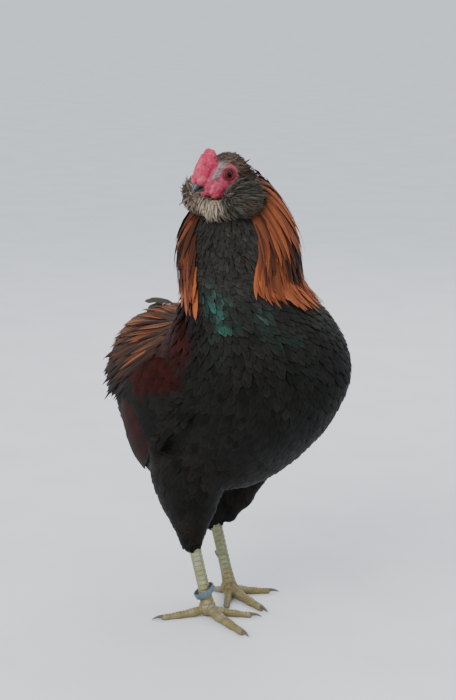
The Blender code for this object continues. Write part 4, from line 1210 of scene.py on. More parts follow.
class ARAUCANA_PG_colours(bpy.types.PropertyGroup):
    """The bird's colours."""

    black: tint("Black", "Breast, belly and thighs", 25, 24, 22)
    black_brown: tint("Brown black", "Faded black of the lower belly", 31, 25, 21)
    # Painted sheen: the breast's green iridescence where the light catches it, and a faint tint of the wing
    # bar
    gleam: tint("Green gleam", "Beetle green on the upper breast", 44, 92, 82)
    hackle: tint("Hackle", "Bright hackles of the neck", 152, 83, 51)
    hackle_deep: tint("Deep hackle", "Hackles near the head and roots", 64, 36, 26)
    saddle: tint("Saddle", "Bright saddle hackles", 132, 78, 49)
    saddle_deep: tint("Deep saddle", "Roots of the saddle hackles", 43, 27, 20)
    maroon: tint("Maroon", "Wing bow and mantle", 43, 16, 12)
    chestnut: tint("Chestnut", "Outer webs of the secondaries", 42, 19, 14)
    muff: tint("Muff", "Muffs on the cheeks", 64, 61, 54)
    beard: tint("Beard", "Pale beard under the beak", 160, 144, 126)
    crown: tint("Crown", "Small feathers of the crown", 80, 65, 55)
    down: tint("Down", "Grey down at the roots", 122, 118, 118)
    face: tint("Face", "Bare skin of the face", 170, 66, 88)
    # Deep face, darkened, is also the painted shade in and round the lids
    face_deep: tint("Deep face", "Blood red in the folds", 138, 20, 50)
    face_pale: tint("Pale face", "Pale pebbles of the skin", 192, 92, 106)
    comb: tint("Comb", "Pea comb", 188, 24, 77)
    beak: tint("Beak", "Dark slate of the beak", 34, 35, 38)
    beak_light: tint("Light beak", "Paler horn at the beak's root", 96, 94, 92)
    iris: tint("Iris", "Red brown iris", 74, 28, 18)
    iris_light: tint("Light iris", "Streaks in the iris", 104, 46, 28)
    shank: tint("Shank", "Pale willow of the shanks", 124, 125, 84)
    foot: tint("Foot", "Olive of the toes", 122, 107, 62)
    foot_light: tint("Light foot", "Worn tops of the scales", 160, 164, 142)
    # Dark foot darkens the grooves between the scales, and patches on the legs and the leg ring
    foot_dark: tint("Dark foot", "Dirt between the scales", 62, 60, 46)
    claw: tint("Claw", "Horn of claws and spurs", 74, 66, 54)
    band: tint("Leg ring", "Plain plastic leg ring", 74, 90, 104)
    band_light: tint("Worn ring", "Scuffs on the leg ring", 120, 132, 140)


class ARAUCANA_PG_plumage(bpy.types.PropertyGroup):
    """The sizes of the plumage."""

    depth: length("Coat depth", "How far the skin lies under the coat", 0.0048)
    throat_spacing: length("Throat spacing", "Between feathers of the throat", 0.0021)
    breast_spacing: length("Breast spacing", "Between feathers of breast and belly", 0.0040)
    thigh_spacing: length("Thigh spacing", "Between feathers of the lower thighs", 0.0032)
    hackle_spacing: length("Hackle spacing", "Between the hackles of the cape", 0.0042)
    saddle_spacing: length("Saddle spacing", "Between the saddle hackles", 0.0044)
    bow_spacing: length("Wing bow spacing", "Between the small wing coverts", 0.0046)
    muff_spacing: length("Muff spacing", "Between the tufts of muffs and beard", 0.00125)
    crown_spacing: length("Crown spacing", "Between feathers of the crown", 0.0014)


class ARAUCANA_PG_head(bpy.types.PropertyGroup):
    """The finish of the head's skin."""

    voxel: length("Skin grain", "The finest form of the face skin", 0.00048)
    peas: IntProperty(name="Peas", description="Small knobs on the comb", default=120, min=0)
    pea_radius: length("Pea radius", "Radius of a knob on the comb", 0.0014)
    lid_wide: length("Lid length", "Half the length of the lids' opening", 0.0058)
    lid_tall: length("Lid height", "Half the height of the lids' ring", 0.0048)
    lid_thick: length("Lid thickness", "Radius of the lids' rim", 0.0010)


class ARAUCANA_PG_stage(bpy.types.PropertyGroup):
    """Camera, floor and light."""

    turn: angle_setting("Turn", "Camera azimuth from straight behind -Y", -38)
    rise: angle_setting("Rise", "Camera elevation", 14)
    distance: length("Distance", "Camera to the bird", 1.8)
    height: length("Height", "Height of the point that the camera turns about", 0.235)
    lens: strength("Lens", "Focal length on a 36 mm tall sensor, in millimetres", 89.9)
    sky: strength("Sky", "Strength of the even light all round", 1.22)
    key: strength("Key light", "Power of the main soft light in watts", 26.0)
    fill: strength("Fill light", "Power of the fill light in watts", 6.0)
    rim: strength("Rim light", "Power of the light from behind in watts", 10.0)
    floor: tint("Floor", "Colour of the plain floor", 229, 232, 236)


class PieceOperator(bpy.types.Operator):
    """What every piece's operator shares."""

    bl_options = {"REGISTER", "UNDO"}

    @property
    def colours(self):
        """The bird's colours, each as an array."""
        group = bpy.context.scene.araucana_colours
        names = ARAUCANA_PG_colours.__annotations__
        return SimpleNamespace(**{name: np.array(getattr(group, name)) for name in names})

    @property
    def plumage(self):
        return bpy.context.scene.araucana_plumage

    @property
    def head(self):
        return bpy.context.scene.araucana_head


class ARAUCANA_OT_skin(PieceOperator):
    """One skin for body, neck, head, thighs, comb and wattles, as deep as the coat inside the outline"""

    bl_idname = "araucana.skin"
    bl_label = "Skin"

    def body_skin(self):
        """The skin under the coat from rump to ruff, in the plumage's tones darkened as painted shade."""
        shape = body_form(self.plumage.depth)
        for leg in SIDES:
            merge_in(shape, wing_pad(WINGS[leg], -0.003, 0.011))
        merge_in(shape, ruff_form(0.0022))
        shape = fused(shape, SKIN_GRAIN, 6)
        t, angle, _ = on_body(coordinates(shape))
        # Painted shade of the coat's depths: the skin takes the plumage's tones darker, and half the muffs'
        # tone under the ruff
        tone = body_tones(t, angle, self.colours) * 0.8
        tone = np.where((t > 15.0)[:, None], self.colours.muff * 0.5, tone)
        return shape, np.column_stack([tone, np.zeros(len(tone))])

    def add_comb(self, shape):
        """The lobes of the pea comb, joined along its middle row and set with small knobs."""
        rng = np.random.default_rng(21)
        lobes = []
        for left, ahead, up, *size in (*COMB_LOBES, COMB_BACK):
            for side in (1, -1) if left else (0,):
                lobes.append((in_head(side * left, ahead, up), size))
        for centre, size in lobes:
            add_ball(shape, centre, [0.93 * half for half in size], HEAD_PLACE)
        for (first, size), (second, other) in zip(lobes[:3], lobes[1:4]):
            between = [0.46 * (a + b) for a, b in zip(size, other)]
            add_ball(shape, first.lerp(second, 0.5), between, HEAD_PLACE)
        for index in range(self.head.peas):
            centre, size = lobes[index % len(lobes)]
            way = unit(rng.standard_normal(3))
            way[2] = abs(way[2]) * 0.9 - 0.2
            spot = Vector(centre) + Vector(way * np.array(size)) * 0.93
            reach = self.head.pea_radius * rng.uniform(0.7, 1.25)
            add_ball(shape, spot, (reach, reach, reach * 1.15), HEAD_PLACE, 2)

    def head_skin(self):
        """Skull, comb, wattles, lids and the face's folds, with their tones."""
        shape = loft_mesh(SKULL, np.linspace(0.0, len(SKULL_RINGS) - 1, 40), 64)
        merge_in(shape, loft_mesh(BODY, np.linspace(14.6, 16.0, 12), 40, -0.004))
        self.add_comb(shape)
        for side in (1, -1):
            for lobe in (*WATTLE_LOBES, *FACE_LOBES):
                add_lobe(shape, lobe, side)
            self.add_lids(shape, side)
        shape = fused(shape, self.head.voxel, 4)
        points, normals = coordinates(shape), bmesh_normals(shape)
        local = to_head(points)
        comb = self.comb_share(local)
        folds = noise(local * np.array([1.0, 1.0, 1.6]), 0.0026, 1) * FOLD_HEIGHT
        grain = noise(local, 0.0011, 2) * PEBBLE_HEIGHT + noise(local, 0.0018, 4) * COMB_PEBBLE_HEIGHT * comb
        far = np.linalg.norm(local[:, 1:] - np.array([EYE_AHEAD, EYE_UP]), axis=-1)
        rings = np.sin(far * math.tau / EYE_RING_GAP) * EYE_RING_HEIGHT * smooth_step(0.0062, 0.0072, far)
        rings *= 1 - smooth_step(0.0095, 0.0125, far)
        set_coordinates(shape, self.open_sockets(points + normals * (folds + grain + rings)[:, None]))
        # Smooth skin keeps fewer faces than folds and peas
        shape = changed(shape, ("DECIMATE", {"ratio": SKIN_SHARE}))
        local = to_head(coordinates(shape))
        return shape, self.face_tones(local, self.comb_share(local))

    def add_lids(self, shape, side):
        """The rim of the lids round an eye, a little almond shaped."""
        head = self.head
        made = bmesh.new()
        ring = bmesh.ops.create_circle(made, segments=10, radius=head.lid_thick)["verts"]
        bmesh.ops.rotate(made, verts=ring, cent=(0, 0, 0), matrix=Matrix.Rotation(math.pi / 2, 3, "X"))
        bmesh.ops.translate(made, verts=ring, vec=(1.0, 0, 0))
        bmesh.ops.spin(
            made, geom=made.edges[:], cent=(0, 0, 0), axis=(0, 0, 1), angle=math.tau, steps=40,
            use_merge=True,
        )
        for vert in made.verts:
            flat = math.hypot(vert.co.x, vert.co.y)
            thick = flat - 1.0
            way = Vector((vert.co.x, vert.co.y, 0)) / flat
            edge = Vector((way.x * head.lid_wide, way.y * head.lid_tall, 0))
            vert.co = edge + way * thick + Vector((0, 0, vert.co.z))
        turn = Matrix(((0, 0, 1, 0), (1, 0, 0, 0), (0, 1, 0, 0), (0, 0, 0, 1)))
        centre = in_head(side * (EYE_SIDE + 0.0036), EYE_AHEAD, EYE_UP)
        bmesh.ops.transform(made, matrix=HEAD_PLACE @ Matrix.Translation(centre) @ turn, verts=made.verts[:])
        face_out(made)
        merge_in(shape, made)

    def open_sockets(self, points):
        """Draws the skin inside the lids back under the eyeball."""
        local = to_head(points)
        opening = np.array([self.head.lid_wide, self.head.lid_tall]) - 0.0006
        for side in (1, -1):
            centre = np.array([side * EYE_SIDE, EYE_AHEAD, EYE_UP])
            offset = local - centre
            flat = np.hypot(*(offset[:, 1:] / opening).T)
            reach = np.linalg.norm(offset, axis=-1)
            inside = (flat < 1.0) & (offset[:, 0] * side > 0) & (reach > SOCKET_RADIUS)
            local[inside] = centre + offset[inside] / reach[inside, None] * SOCKET_RADIUS
        return out_of_head(local)

    def comb_share(self, local):
        """How far each point belongs to the comb."""
        return 1 - smooth_step(0.75, 1.15, comb_distance(local, 1.35))

    def face_tones(self, local, comb):
        """Bare red face and comb; painted shade round the lids and, in feather tones, under the feathers
        behind.
        """
        colours = self.colours
        off = (local[:, 1:] - np.array([EYE_AHEAD, EYE_UP])) / (self.head.lid_wide, self.head.lid_tall)
        # Painted shade in the eye's socket: inside and round the lids the skin turns to dark deep red
        lids = 0.95 * (1 - smooth_step(1.15, 1.70, np.hypot(*off.T))) * (np.abs(local[:, 0]) > 0.006)
        tone = mixed(mixed(colours.face, colours.comb, comb), colours.face_deep * 0.35, lids)
        # Painted shade under the feathers: the crown's tone darker, grey in the pale strip, darker still
        # under the chin, and a darkened beard tone in front of it
        covered = mixed(colours.crown * 0.8, colours.down * 1.15, grey_strip(local))
        chin = smooth_step(-0.014, -0.020, local[:, 2])
        front = smooth_step(0.004, 0.012, local[:, 1])
        covered = mixed(covered * (1 - 0.8 * chin)[:, None], colours.beard * 0.55, chin * front)
        bare = np.maximum(bare_share(local), comb)
        return np.column_stack([mixed(covered, tone, bare), bare * (1 - lids)])

    def execute(self, context):
        shape, body_colours = self.body_skin()
        head, head_colours = self.head_skin()
        merge_in(shape, head)
        finish_piece(
            "skin", shape, skin_material(self.colours), "red_skin",
            ("torso", "rump", "neck", "head", "thigh_left", "thigh_right", "comb", "wattle_left",
             "wattle_right"),
            skin_tone=np.concatenate([body_colours, head_colours]),
        )
        return {"FINISHED"}


def comb_distance(local, grown):
    """How far places lie from the middle of the nearest lobe of the comb, in shares of its size."""
    lobes = [(side * left, *rest) for left, *rest in COMB_LOBES for side in (1, -1)]
    return np.min([beyond(local, lobe[:3], np.array(lobe[3:]) * grown) for lobe in lobes], axis=0)


def grey_strip(local):
    """The band of pale grey feathers that runs up between comb and eye."""
    slant = (local[:, 1] - 0.0163 + 1.05 * (local[:, 2] - 0.0044)) / 0.0019
    ends = smooth_step(0.0015, 0.0040, local[:, 2]) * (1 - smooth_step(0.0145, 0.0175, local[:, 2]))
    return np.exp(-slant ** 2) * ends * (np.abs(local[:, 0]) > 0.0060)


def bare_share(local):
    """How bare the head is: round the eyes and forward to the beak, and down to the wattles."""
    side, ahead, up = np.abs(local[:, 0]), local[:, 1], local[:, 2]
    eye = np.hypot((ahead - EYE_AHEAD - 0.0005) / 0.0098, (up - EYE_UP + 0.0004) / 0.0100)
    round_eye = (1 - smooth_step(0.95, 1.12, eye)) * (side > 0.006)
    front = smooth_step(0.0045, 0.0075, ahead) * smooth_step(-0.030, -0.026, up)
    cheek = smooth_step(-0.006, -0.002, ahead) * smooth_step(-0.030, -0.024, up)
    cheek *= 1 - smooth_step(-0.0035, -0.0015, up)
    return np.clip(np.maximum.reduce([round_eye, front, cheek]) - 1.6 * grey_strip(local), 0, 1)


class ARAUCANA_OT_eyes(PieceOperator):
    """The eyeballs, with a bulged cornea over iris and pupil"""

    bl_idname = "araucana.eyes"
    bl_label = "Eyes"

    def execute(self, context):
        material = eye_material(self.colours)
        for name, side in SIDES.items():
            shape = bmesh.new()
            bmesh.ops.create_uvsphere(shape, u_segments=40, v_segments=28, radius=1.0)
            look = unit(np.array([side * 0.975, -0.20, 0.05]))
            points = coordinates(shape)
            facing = points @ look
            bulge = 1 + 0.030 * smooth_step(0.80, 1.0, facing)
            ball = points * bulge[:, None] * EYE_RADIUS * 0.985
            centre = np.array([side * EYE_SIDE, EYE_AHEAD, EYE_UP])
            set_coordinates(shape, out_of_head(ball * AHEAD + centre))
            face_out(shape)
            first = unit(np.cross(look, np.array([0.0, 0.0, 1.0])))
            flat = unit(np.stack([points @ first, points @ np.cross(look, first)], -1))
            gaze = np.column_stack([np.arccos(np.clip(facing, -1, 1)), flat])
            finish_piece("eyeball_" + name, shape, material, "eye", ("eye_" + name,), gaze=gaze)
        return {"FINISHED"}


# The beak's halves are drawn in towards their root by this share
BEAK_ROOT = np.array([0.0, 0.0220, -0.0005])
BEAK_SHARE = 0.88


class ARAUCANA_OT_beak(PieceOperator):
    """The two halves of the beak, with nostrils and a line of mouth between them"""

    bl_idname = "araucana.beak"
    bl_label = "Beak"

    def open_nostrils(self, local):
        """Sinks a nostril into each side of the upper half, and raises the ridge between them."""
        left, ahead, up, *size = NOSTRIL
        for side in (1, -1):
            away = beyond(local, (side * left, ahead, up), size)
            local[:, 0] -= side * 0.0013 * (1 - smooth_step(0.4, 1.0, away)) * (local[:, 0] * side > 0)
        local[:, 2] += 0.0004 * np.exp(-(local[:, 0] / 0.0011) ** 2) * (local[:, 2] > -0.001)

    def execute(self, context):
        colours = self.colours
        material = horn_material("Beak horn", colours.beak, colours.beak_light, 0.38, (0.35, 1.0, 1.0))
        for name, rings in (("upper", UPPER_BEAK_RINGS), ("lower", LOWER_BEAK_RINGS)):
            shape = loft_mesh(Loft(rings, HEAD_PLACE), np.linspace(0.0, len(rings) - 1, 44), 48)
            local = BEAK_ROOT + (to_head(coordinates(shape)) - BEAK_ROOT) * BEAK_SHARE
            if name == "upper":
                self.open_nostrils(local)
            set_coordinates(shape, out_of_head(local))
            finish_piece("horn_beak_" + name, shape, material, "beak_horn", ("beak_" + name,))
        return {"FINISHED"}


# The length and half width of the body's feathers at places along the body's table
FEATHERS_AT = (0, 4, 7, 9, 11, 13, 15.5)
FEATHERS_LONG = (0.024, 0.029, 0.031, 0.028, 0.023, 0.018, 0.011)
FEATHERS_WIDE = (0.0054, 0.0060, 0.0062, 0.0054, 0.0036, 0.0025, 0.0018)


class ARAUCANA_OT_body_coat(PieceOperator):
    """The small feathers of throat, breast, back, belly and thighs"""

    bl_idname = "araucana.body_coat"
    bl_label = "Body plumage"

    def lie(self, turn):
        """Feathers lie back along the body, and down the thighs."""
        def way(point, normal):
            t, angle, off = on_body(point)
            along = BODY.frame(t, angle)[2]
            leg = smooth_step(0.001, 0.016, off) * (1 - smooth_step(0.17, 0.21, point[:, 2]))
            ways = unit(mixed(-unit(along), np.array([0.0, 0.3, -1.0]), leg))
            return turned(ways, normal, turn)
        return way

    def sizes(self, point):
        """How long, how broad and how close the feathers are at places on the body."""
        plumage = self.plumage
        t, _, _ = on_body(point)
        low = smooth_step(0.150, 0.085, point[:, 2])
        sizes = (
            (np.interp(t, FEATHERS_AT, FEATHERS_LONG), 0.0145),
            (np.interp(t, FEATHERS_AT, FEATHERS_WIDE), 0.0036),
            (np.interp(t, (8.5, 11.5, 13), (plumage.breast_spacing, 0.0030, plumage.throat_spacing)),
             plumage.thigh_spacing),
        )
        return [body * (1 - low) + thigh * low for body, thigh in sizes]

    def tones(self, point, rng):
        """Black with a painted green sheen on the upper breast, browner under the belly."""
        colours = self.colours
        t, angle, _ = on_body(point)
        count = len(t)
        front = smooth_step(80, 112, np.degrees(np.abs(angle)))
        # Painted sheen of the green iridescence, where light catches it most: down the right of the breast, a
        # little in front
        turn = np.degrees(angle) % 360 - 360
        streak = np.interp(t, (10.3, 11.0, 12.0, 12.7), (-112, -127, -138, -148))
        gleam = np.exp(-((turn - streak) / 14) ** 2 - ((t - 11.7) / 1.0) ** 2)
        gleam = np.maximum(gleam, 0.40 * np.exp(-((turn + 178) / 18) ** 2 - ((t - 11.4) / 0.8) ** 2))
        gleam = gleam * smooth_step(-0.6, 0.5, noise(point, 0.010, 8)) * rng.uniform(0.0, 1.15, count)
        brown = (1 - smooth_step(5.0, 8.0, t)) * front * smooth_step(-0.2, 0.5, noise(point, 0.03, 9))
        ground = mixed(body_tones(t, angle, colours), colours.black_brown, 0.8 * brown)
        # Painted sheen: paler up the front of the throat and where the green sheen is painted
        high = 0.35 * smooth_step(9.4, 11.2, t) + 0.65 * smooth_step(11.6, 13.2, t)
        painted_sheen = np.maximum(high * front, np.minimum(gleam * 3, 1))
        ground = ground * (1 + 1.6 * painted_sheen * front)[:, None]
        ground = ground * np.clip(1 + 0.2 * rng.standard_normal(count), 0.6, 1.6)[:, None]
        tip = mixed(ground, colours.gleam, gleam)
        gloss = 0.10 + 0.6 * gleam
        return tones(count, ground, tip, ground * 0.4, strength=0.3, tip_from=0.48, gloss=gloss)

    def add_region(self, name, rng, hide, tries, keep, slot):
        """Covers one part of the body with small feathers."""
        roots = hide.seeds(rng, tries, lambda spot: self.sizes(spot)[2], keep, 1.8)
        count = len(roots)
        size = np.clip(rng.normal(1.0, 0.08, count), 0.8, 1.25)
        long, wide, _ = self.sizes(roots)
        lie = self.lie(rng.normal(0, 0.09, count))
        points, normals = hide.paths(roots, long * size, ROUND_SHAPE, lie)
        lifts = lifts_for(rising(ROUND_SHAPE, root=-0.170, clear=-0.120, tip=0.018), rng, 0.0003, long)
        Coat(name).add(
            points, normals, wide * size, ROUND_SHAPE, lifts, self.tones(roots, rng), body_unwrap(roots),
            rng, ragged=0.08, cup=0.10,
        ).build("Black plumage", slot)

    def execute(self, context):
        rng = np.random.default_rng(11)
        hide = coat_hide()

        def where(low, high, back, side=0):
            """Keeps one side of the body between two places along it, clear of the folded wings."""
            def keep(spot):
                t, angle, _ = on_body(spot)
                turn = np.degrees(np.abs(angle))
                along, across = in_wing(spot)
                high_edge, _ = wing_edges(along)
                wing = (along > 0.024 - 0.35 * across) & (along < 0.140) & (across < high_edge - 0.010)
                wing &= across > np.interp(along, (0.03, 0.12), (0.002, -0.014))
                wing &= np.abs(spot[:, 0]) > 0.05
                kept = (t > low) & (t <= high) & ((turn < 84) == back) & ~wing
                return kept & (spot[:, 2] > HOCK["right"].z - 0.006) & (spot[:, 0] * side >= 0)
            return keep

        for name, tries, keep, slot in (
            ("throat", 50000, where(11.2, 15.7, False), "plumage_black"),
            ("breast", 40000, where(8.0, 11.2, False), "plumage_black"),
            ("belly_left", 40000, where(0.2, 8.0, False, 1), "plumage_black"),
            ("belly_right", 40000, where(0.2, 8.0, False, -1), "plumage_black"),
            ("back", 30000, where(0.2, 11.6, True), "plumage_saddle"),
        ):
            self.add_region("plumage_" + name, rng, hide, tries, keep, slot)
        return {"FINISHED"}


# How far round the neck the cape of hackles reaches on each side, in degrees, along the body's table,
# and how low their tips hang there, from the nape to the throat
CAPE_AT = (10.0, 11.0, 12.0, 13.0, 14.0, 15.0, 15.6)
CAPE_EDGE = {"left": (176, 174, 168, 154, 137, 119, 108), "right": (98, 108, 122, 138, 144, 130, 116)}
CAPE_TIP = {"left": (9.9, 10.5, 11.6), "right": (9.9, 10.4, 10.9)}


class ARAUCANA_OT_hackles(PieceOperator):
    """The cape of long pointed hackles round the neck, which hang straight down"""

    bl_idname = "araucana.hackles"
    bl_label = "Neck hackles"

    def tones(self, t, point, rng):
        """Deep red brown near the head, bright orange lower down, with dark streaks."""
        colours = self.colours
        count = len(t)
        high = smooth_step(12.9, 15.0, t)
        bright = 0.70 + 0.45 * noise(point, 0.016, 6) + 0.2 * rng.standard_normal(count) - 0.6 * high
        bright = np.clip(bright, 0, 1)
        root = mixed(colours.hackle_deep, colours.hackle, 0.55 * bright)
        tip = mixed(colours.hackle_deep, colours.hackle, bright)
        dark = np.clip(0.7 * rng.uniform(-0.2, 1, count), 0, 1)
        black = rng.uniform(0, 1, count) < 0.025
        root[black] = colours.black
        tip[black] = colours.black * 1.3
        return tones(count, root, tip, colours.black * 1.2, dark, tip_from=0.25, gloss=0.10)

    def execute(self, context):
        hide = long_hide()
        for name, side in SIDES.items():
            rng = np.random.default_rng(41 + side)
            edge = np.radians(CAPE_EDGE[name])

            def cape_of(spot):
                """Places along the body, shares of the cape's reach round it, and how low tips hang."""
                t, angle, _ = on_body(spot)
                share = angle * side / np.interp(t, CAPE_AT, edge)
                return t, share, np.interp(share, (0, 0.6, 1), CAPE_TIP[name])

            def keep(spot):
                t, share, tip = cape_of(spot)
                return (share > -0.03) & (share < 1) & (t > tip + 0.9) & (t < 15.55)

            roots = hide.seeds(rng, 60000, self.plumage.hackle_spacing, keep)
            count = len(roots)
            t, share, tip = cape_of(roots)
            tip = tip + rng.uniform(-0.6, 0.5, count) ** 3 * 5
            room = (t - tip) * np.interp(share, (0, 1), (0.024, 0.017))
            long = np.clip(np.minimum(room, 0.072 * rng.uniform(0.8, 1.1, count)), 0.018, 0.08)
            wide = np.interp(t, (11.0, 15.5), (0.0040, 0.0029)) * rng.uniform(0.85, 1.15, count)
            turn = rng.normal(0, 0.06, count)

            def lie(point, normal):
                place, angle, _ = on_body(point)
                _, _, along, around = BODY.frame(place, angle)
                slope = (np.interp(place + 0.2, CAPE_AT, edge) - np.interp(place - 0.2, CAPE_AT, edge)) / 0.4
                return turned(unit(-along - around * (side * share * slope)[:, None]), normal, turn)

            points, normals = hide.paths(roots, long, HACKLE_SHAPE, lie, stiff=0.35, slack=0.004)
            lifts = lifts_for(rising(HACKLE_SHAPE, root=-0.050, clear=0.003, tip=0.055), rng, 0.0010, long)
            Coat("hackles_" + name).add(
                points, normals, wide, HACKLE_SHAPE, lifts, self.tones(t, roots, rng), body_unwrap(roots),
                rng, ragged=0.07,
            ).build("Hackle plumage", "plumage_hackle")
        return {"FINISHED"}


class ARAUCANA_OT_saddle(PieceOperator):
    """The saddle hackles that fall over the rump, where a tail would be"""

    bl_idname = "araucana.saddle"
    bl_label = "Saddle hackles"

    def tones(self, t, angle, rng):
        """Orange brown with dark streaks, black tips on the last rows, and painted shade down the sides."""
        colours = self.colours
        count = len(t)
        bright = np.clip(0.45 + 0.4 * rng.standard_normal(count), 0, 1)
        side = np.degrees(np.abs(angle))
        # Painted shade: the saddle grows duller further round the sides, where it hangs lower
        bright = bright * (1 - 0.75 * smooth_step(24, 52, side))
        root = mixed(colours.saddle_deep, colours.saddle, 0.4 * bright)
        tip = mixed(colours.saddle_deep, colours.saddle, bright)
        last = (1 - smooth_step(1.0, 2.4, t)) * (rng.uniform(0, 1, count) < 0.7)
        # Painted shade: tips and roots turn black lower down the sides
        lower = smooth_step(44, 66, side)
        tip = mixed(tip, colours.black, np.clip(last + lower, 0, 1))
        root = mixed(root, colours.black, 0.8 * lower)
        pale = rng.uniform(0, 1, count) < 0.03
        streak = np.where(pale[:, None], colours.saddle * 1.5, colours.black * 1.2)
        dark = np.clip(0.3 + 0.6 * rng.uniform(0, 1, count), 0, 1)
        return tones(count, root, tip, streak, dark, tip_from=0.45, gloss=0.08)

    def execute(self, context):
        hide = long_hide()
        for name, side in SIDES.items():
            rng = np.random.default_rng(51 + side)

            def keep(spot):
                t, angle, _ = on_body(spot)
                along, across = in_wing(spot)
                free = (across > WING_UPPER - 0.006) | (along > WING_LENGTH - 0.035)
                reach = np.radians(np.interp(t, (2.5, 5.6), (84, 46)))
                return free & (t > 0.8) & (t < 5.6) & (np.abs(angle) < reach) & (angle * side > -0.02)

            roots = hide.seeds(rng, 60000, self.plumage.saddle_spacing, keep)
            count = len(roots)
            t, angle, _ = on_body(roots)
            long = np.interp(t, (0.9, 2.0, 3.5, 5.6), (0.054, 0.066, 0.074, 0.062))
            long = long * rng.uniform(0.8, 1.12, count)
            room = (roots[:, 2] - 0.205) / (0.42 + 0.5 * np.abs(np.sin(angle)))
            long = np.clip(np.minimum(long, room * rng.uniform(0.9, 1.1, count)), 0.016, None)
            wide = np.interp(t, (0.9, 5.6), (0.0032, 0.0036)) * rng.uniform(0.8, 1.2, count)
            turn = rng.normal(0, 0.08, count)

            def lie(point, normal):
                place, round_it, _ = on_body(point)
                back = -unit(BODY.frame(place, round_it)[2])
                down = back + np.array([0.0, 0.0, -0.8]) * np.abs(np.sin(round_it))[:, None]
                return turned(unit(down), normal, turn)

            points, normals = hide.paths(roots, long, HACKLE_SHAPE, lie, stiff=0.80, slack=0.012, droop=0.045)
            lifts = lifts_for(rising(HACKLE_SHAPE, root=-0.042, clear=0.006, tip=0.070), rng, 0.0018, long)
            Coat("saddle_" + name).add(
                points, normals, wide, HACKLE_SHAPE, lifts, self.tones(t, angle, rng), body_unwrap(roots),
                rng, ragged=0.07,
            ).build("Hackle plumage", "plumage_saddle")
        self.loose_feather(hide)
        return {"FINISHED"}

    def loose_feather(self, hide):
        """A dark feather that stands out over the rump, with grey down at its root."""
        colours = self.colours
        rng = np.random.default_rng(57)
        count = 46
        dark = np.arange(count) < 5
        root = np.array([-0.004, 0.084, 0.312]) + rng.normal(0, 0.0030, (count, 3))
        point, normal = hide.meet(root)
        long = np.where(dark, 0.029, 0.014) * rng.uniform(0.85, 1.1, count)
        way = np.array([-0.76, 0.55, 0.42]) + rng.normal(0, 0.13, (count, 3))
        way = unit(way + rng.normal(0, 0.35, (count, 3)) * ~dark[:, None])
        shares = shares_of(QUILL_SHAPE)
        points = point[:, None] + way[:, None] * (long[:, None] * shares)[..., None]
        points[..., 2] -= 0.011 * shares ** 2
        normals = np.broadcast_to(unit(normal + np.array([-0.5, -0.6, 0.2]))[:, None], points.shape)
        tone = np.where(dark[:, None], colours.muff * 1.3, colours.down * 1.2)
        Coat("saddle_loose_feather").add(
            points, normals, np.where(dark, 0.0032, 0.0008), QUILL_SHAPE, np.full(points.shape[:2], 0.004),
            tones(count, tone, tone, tone * 0.6, strength=0.3, tip_from=0.5), body_unwrap(point), rng,
            cup=0.20, ragged=0.12,
        ).build("Head plumage", "plumage_saddle")


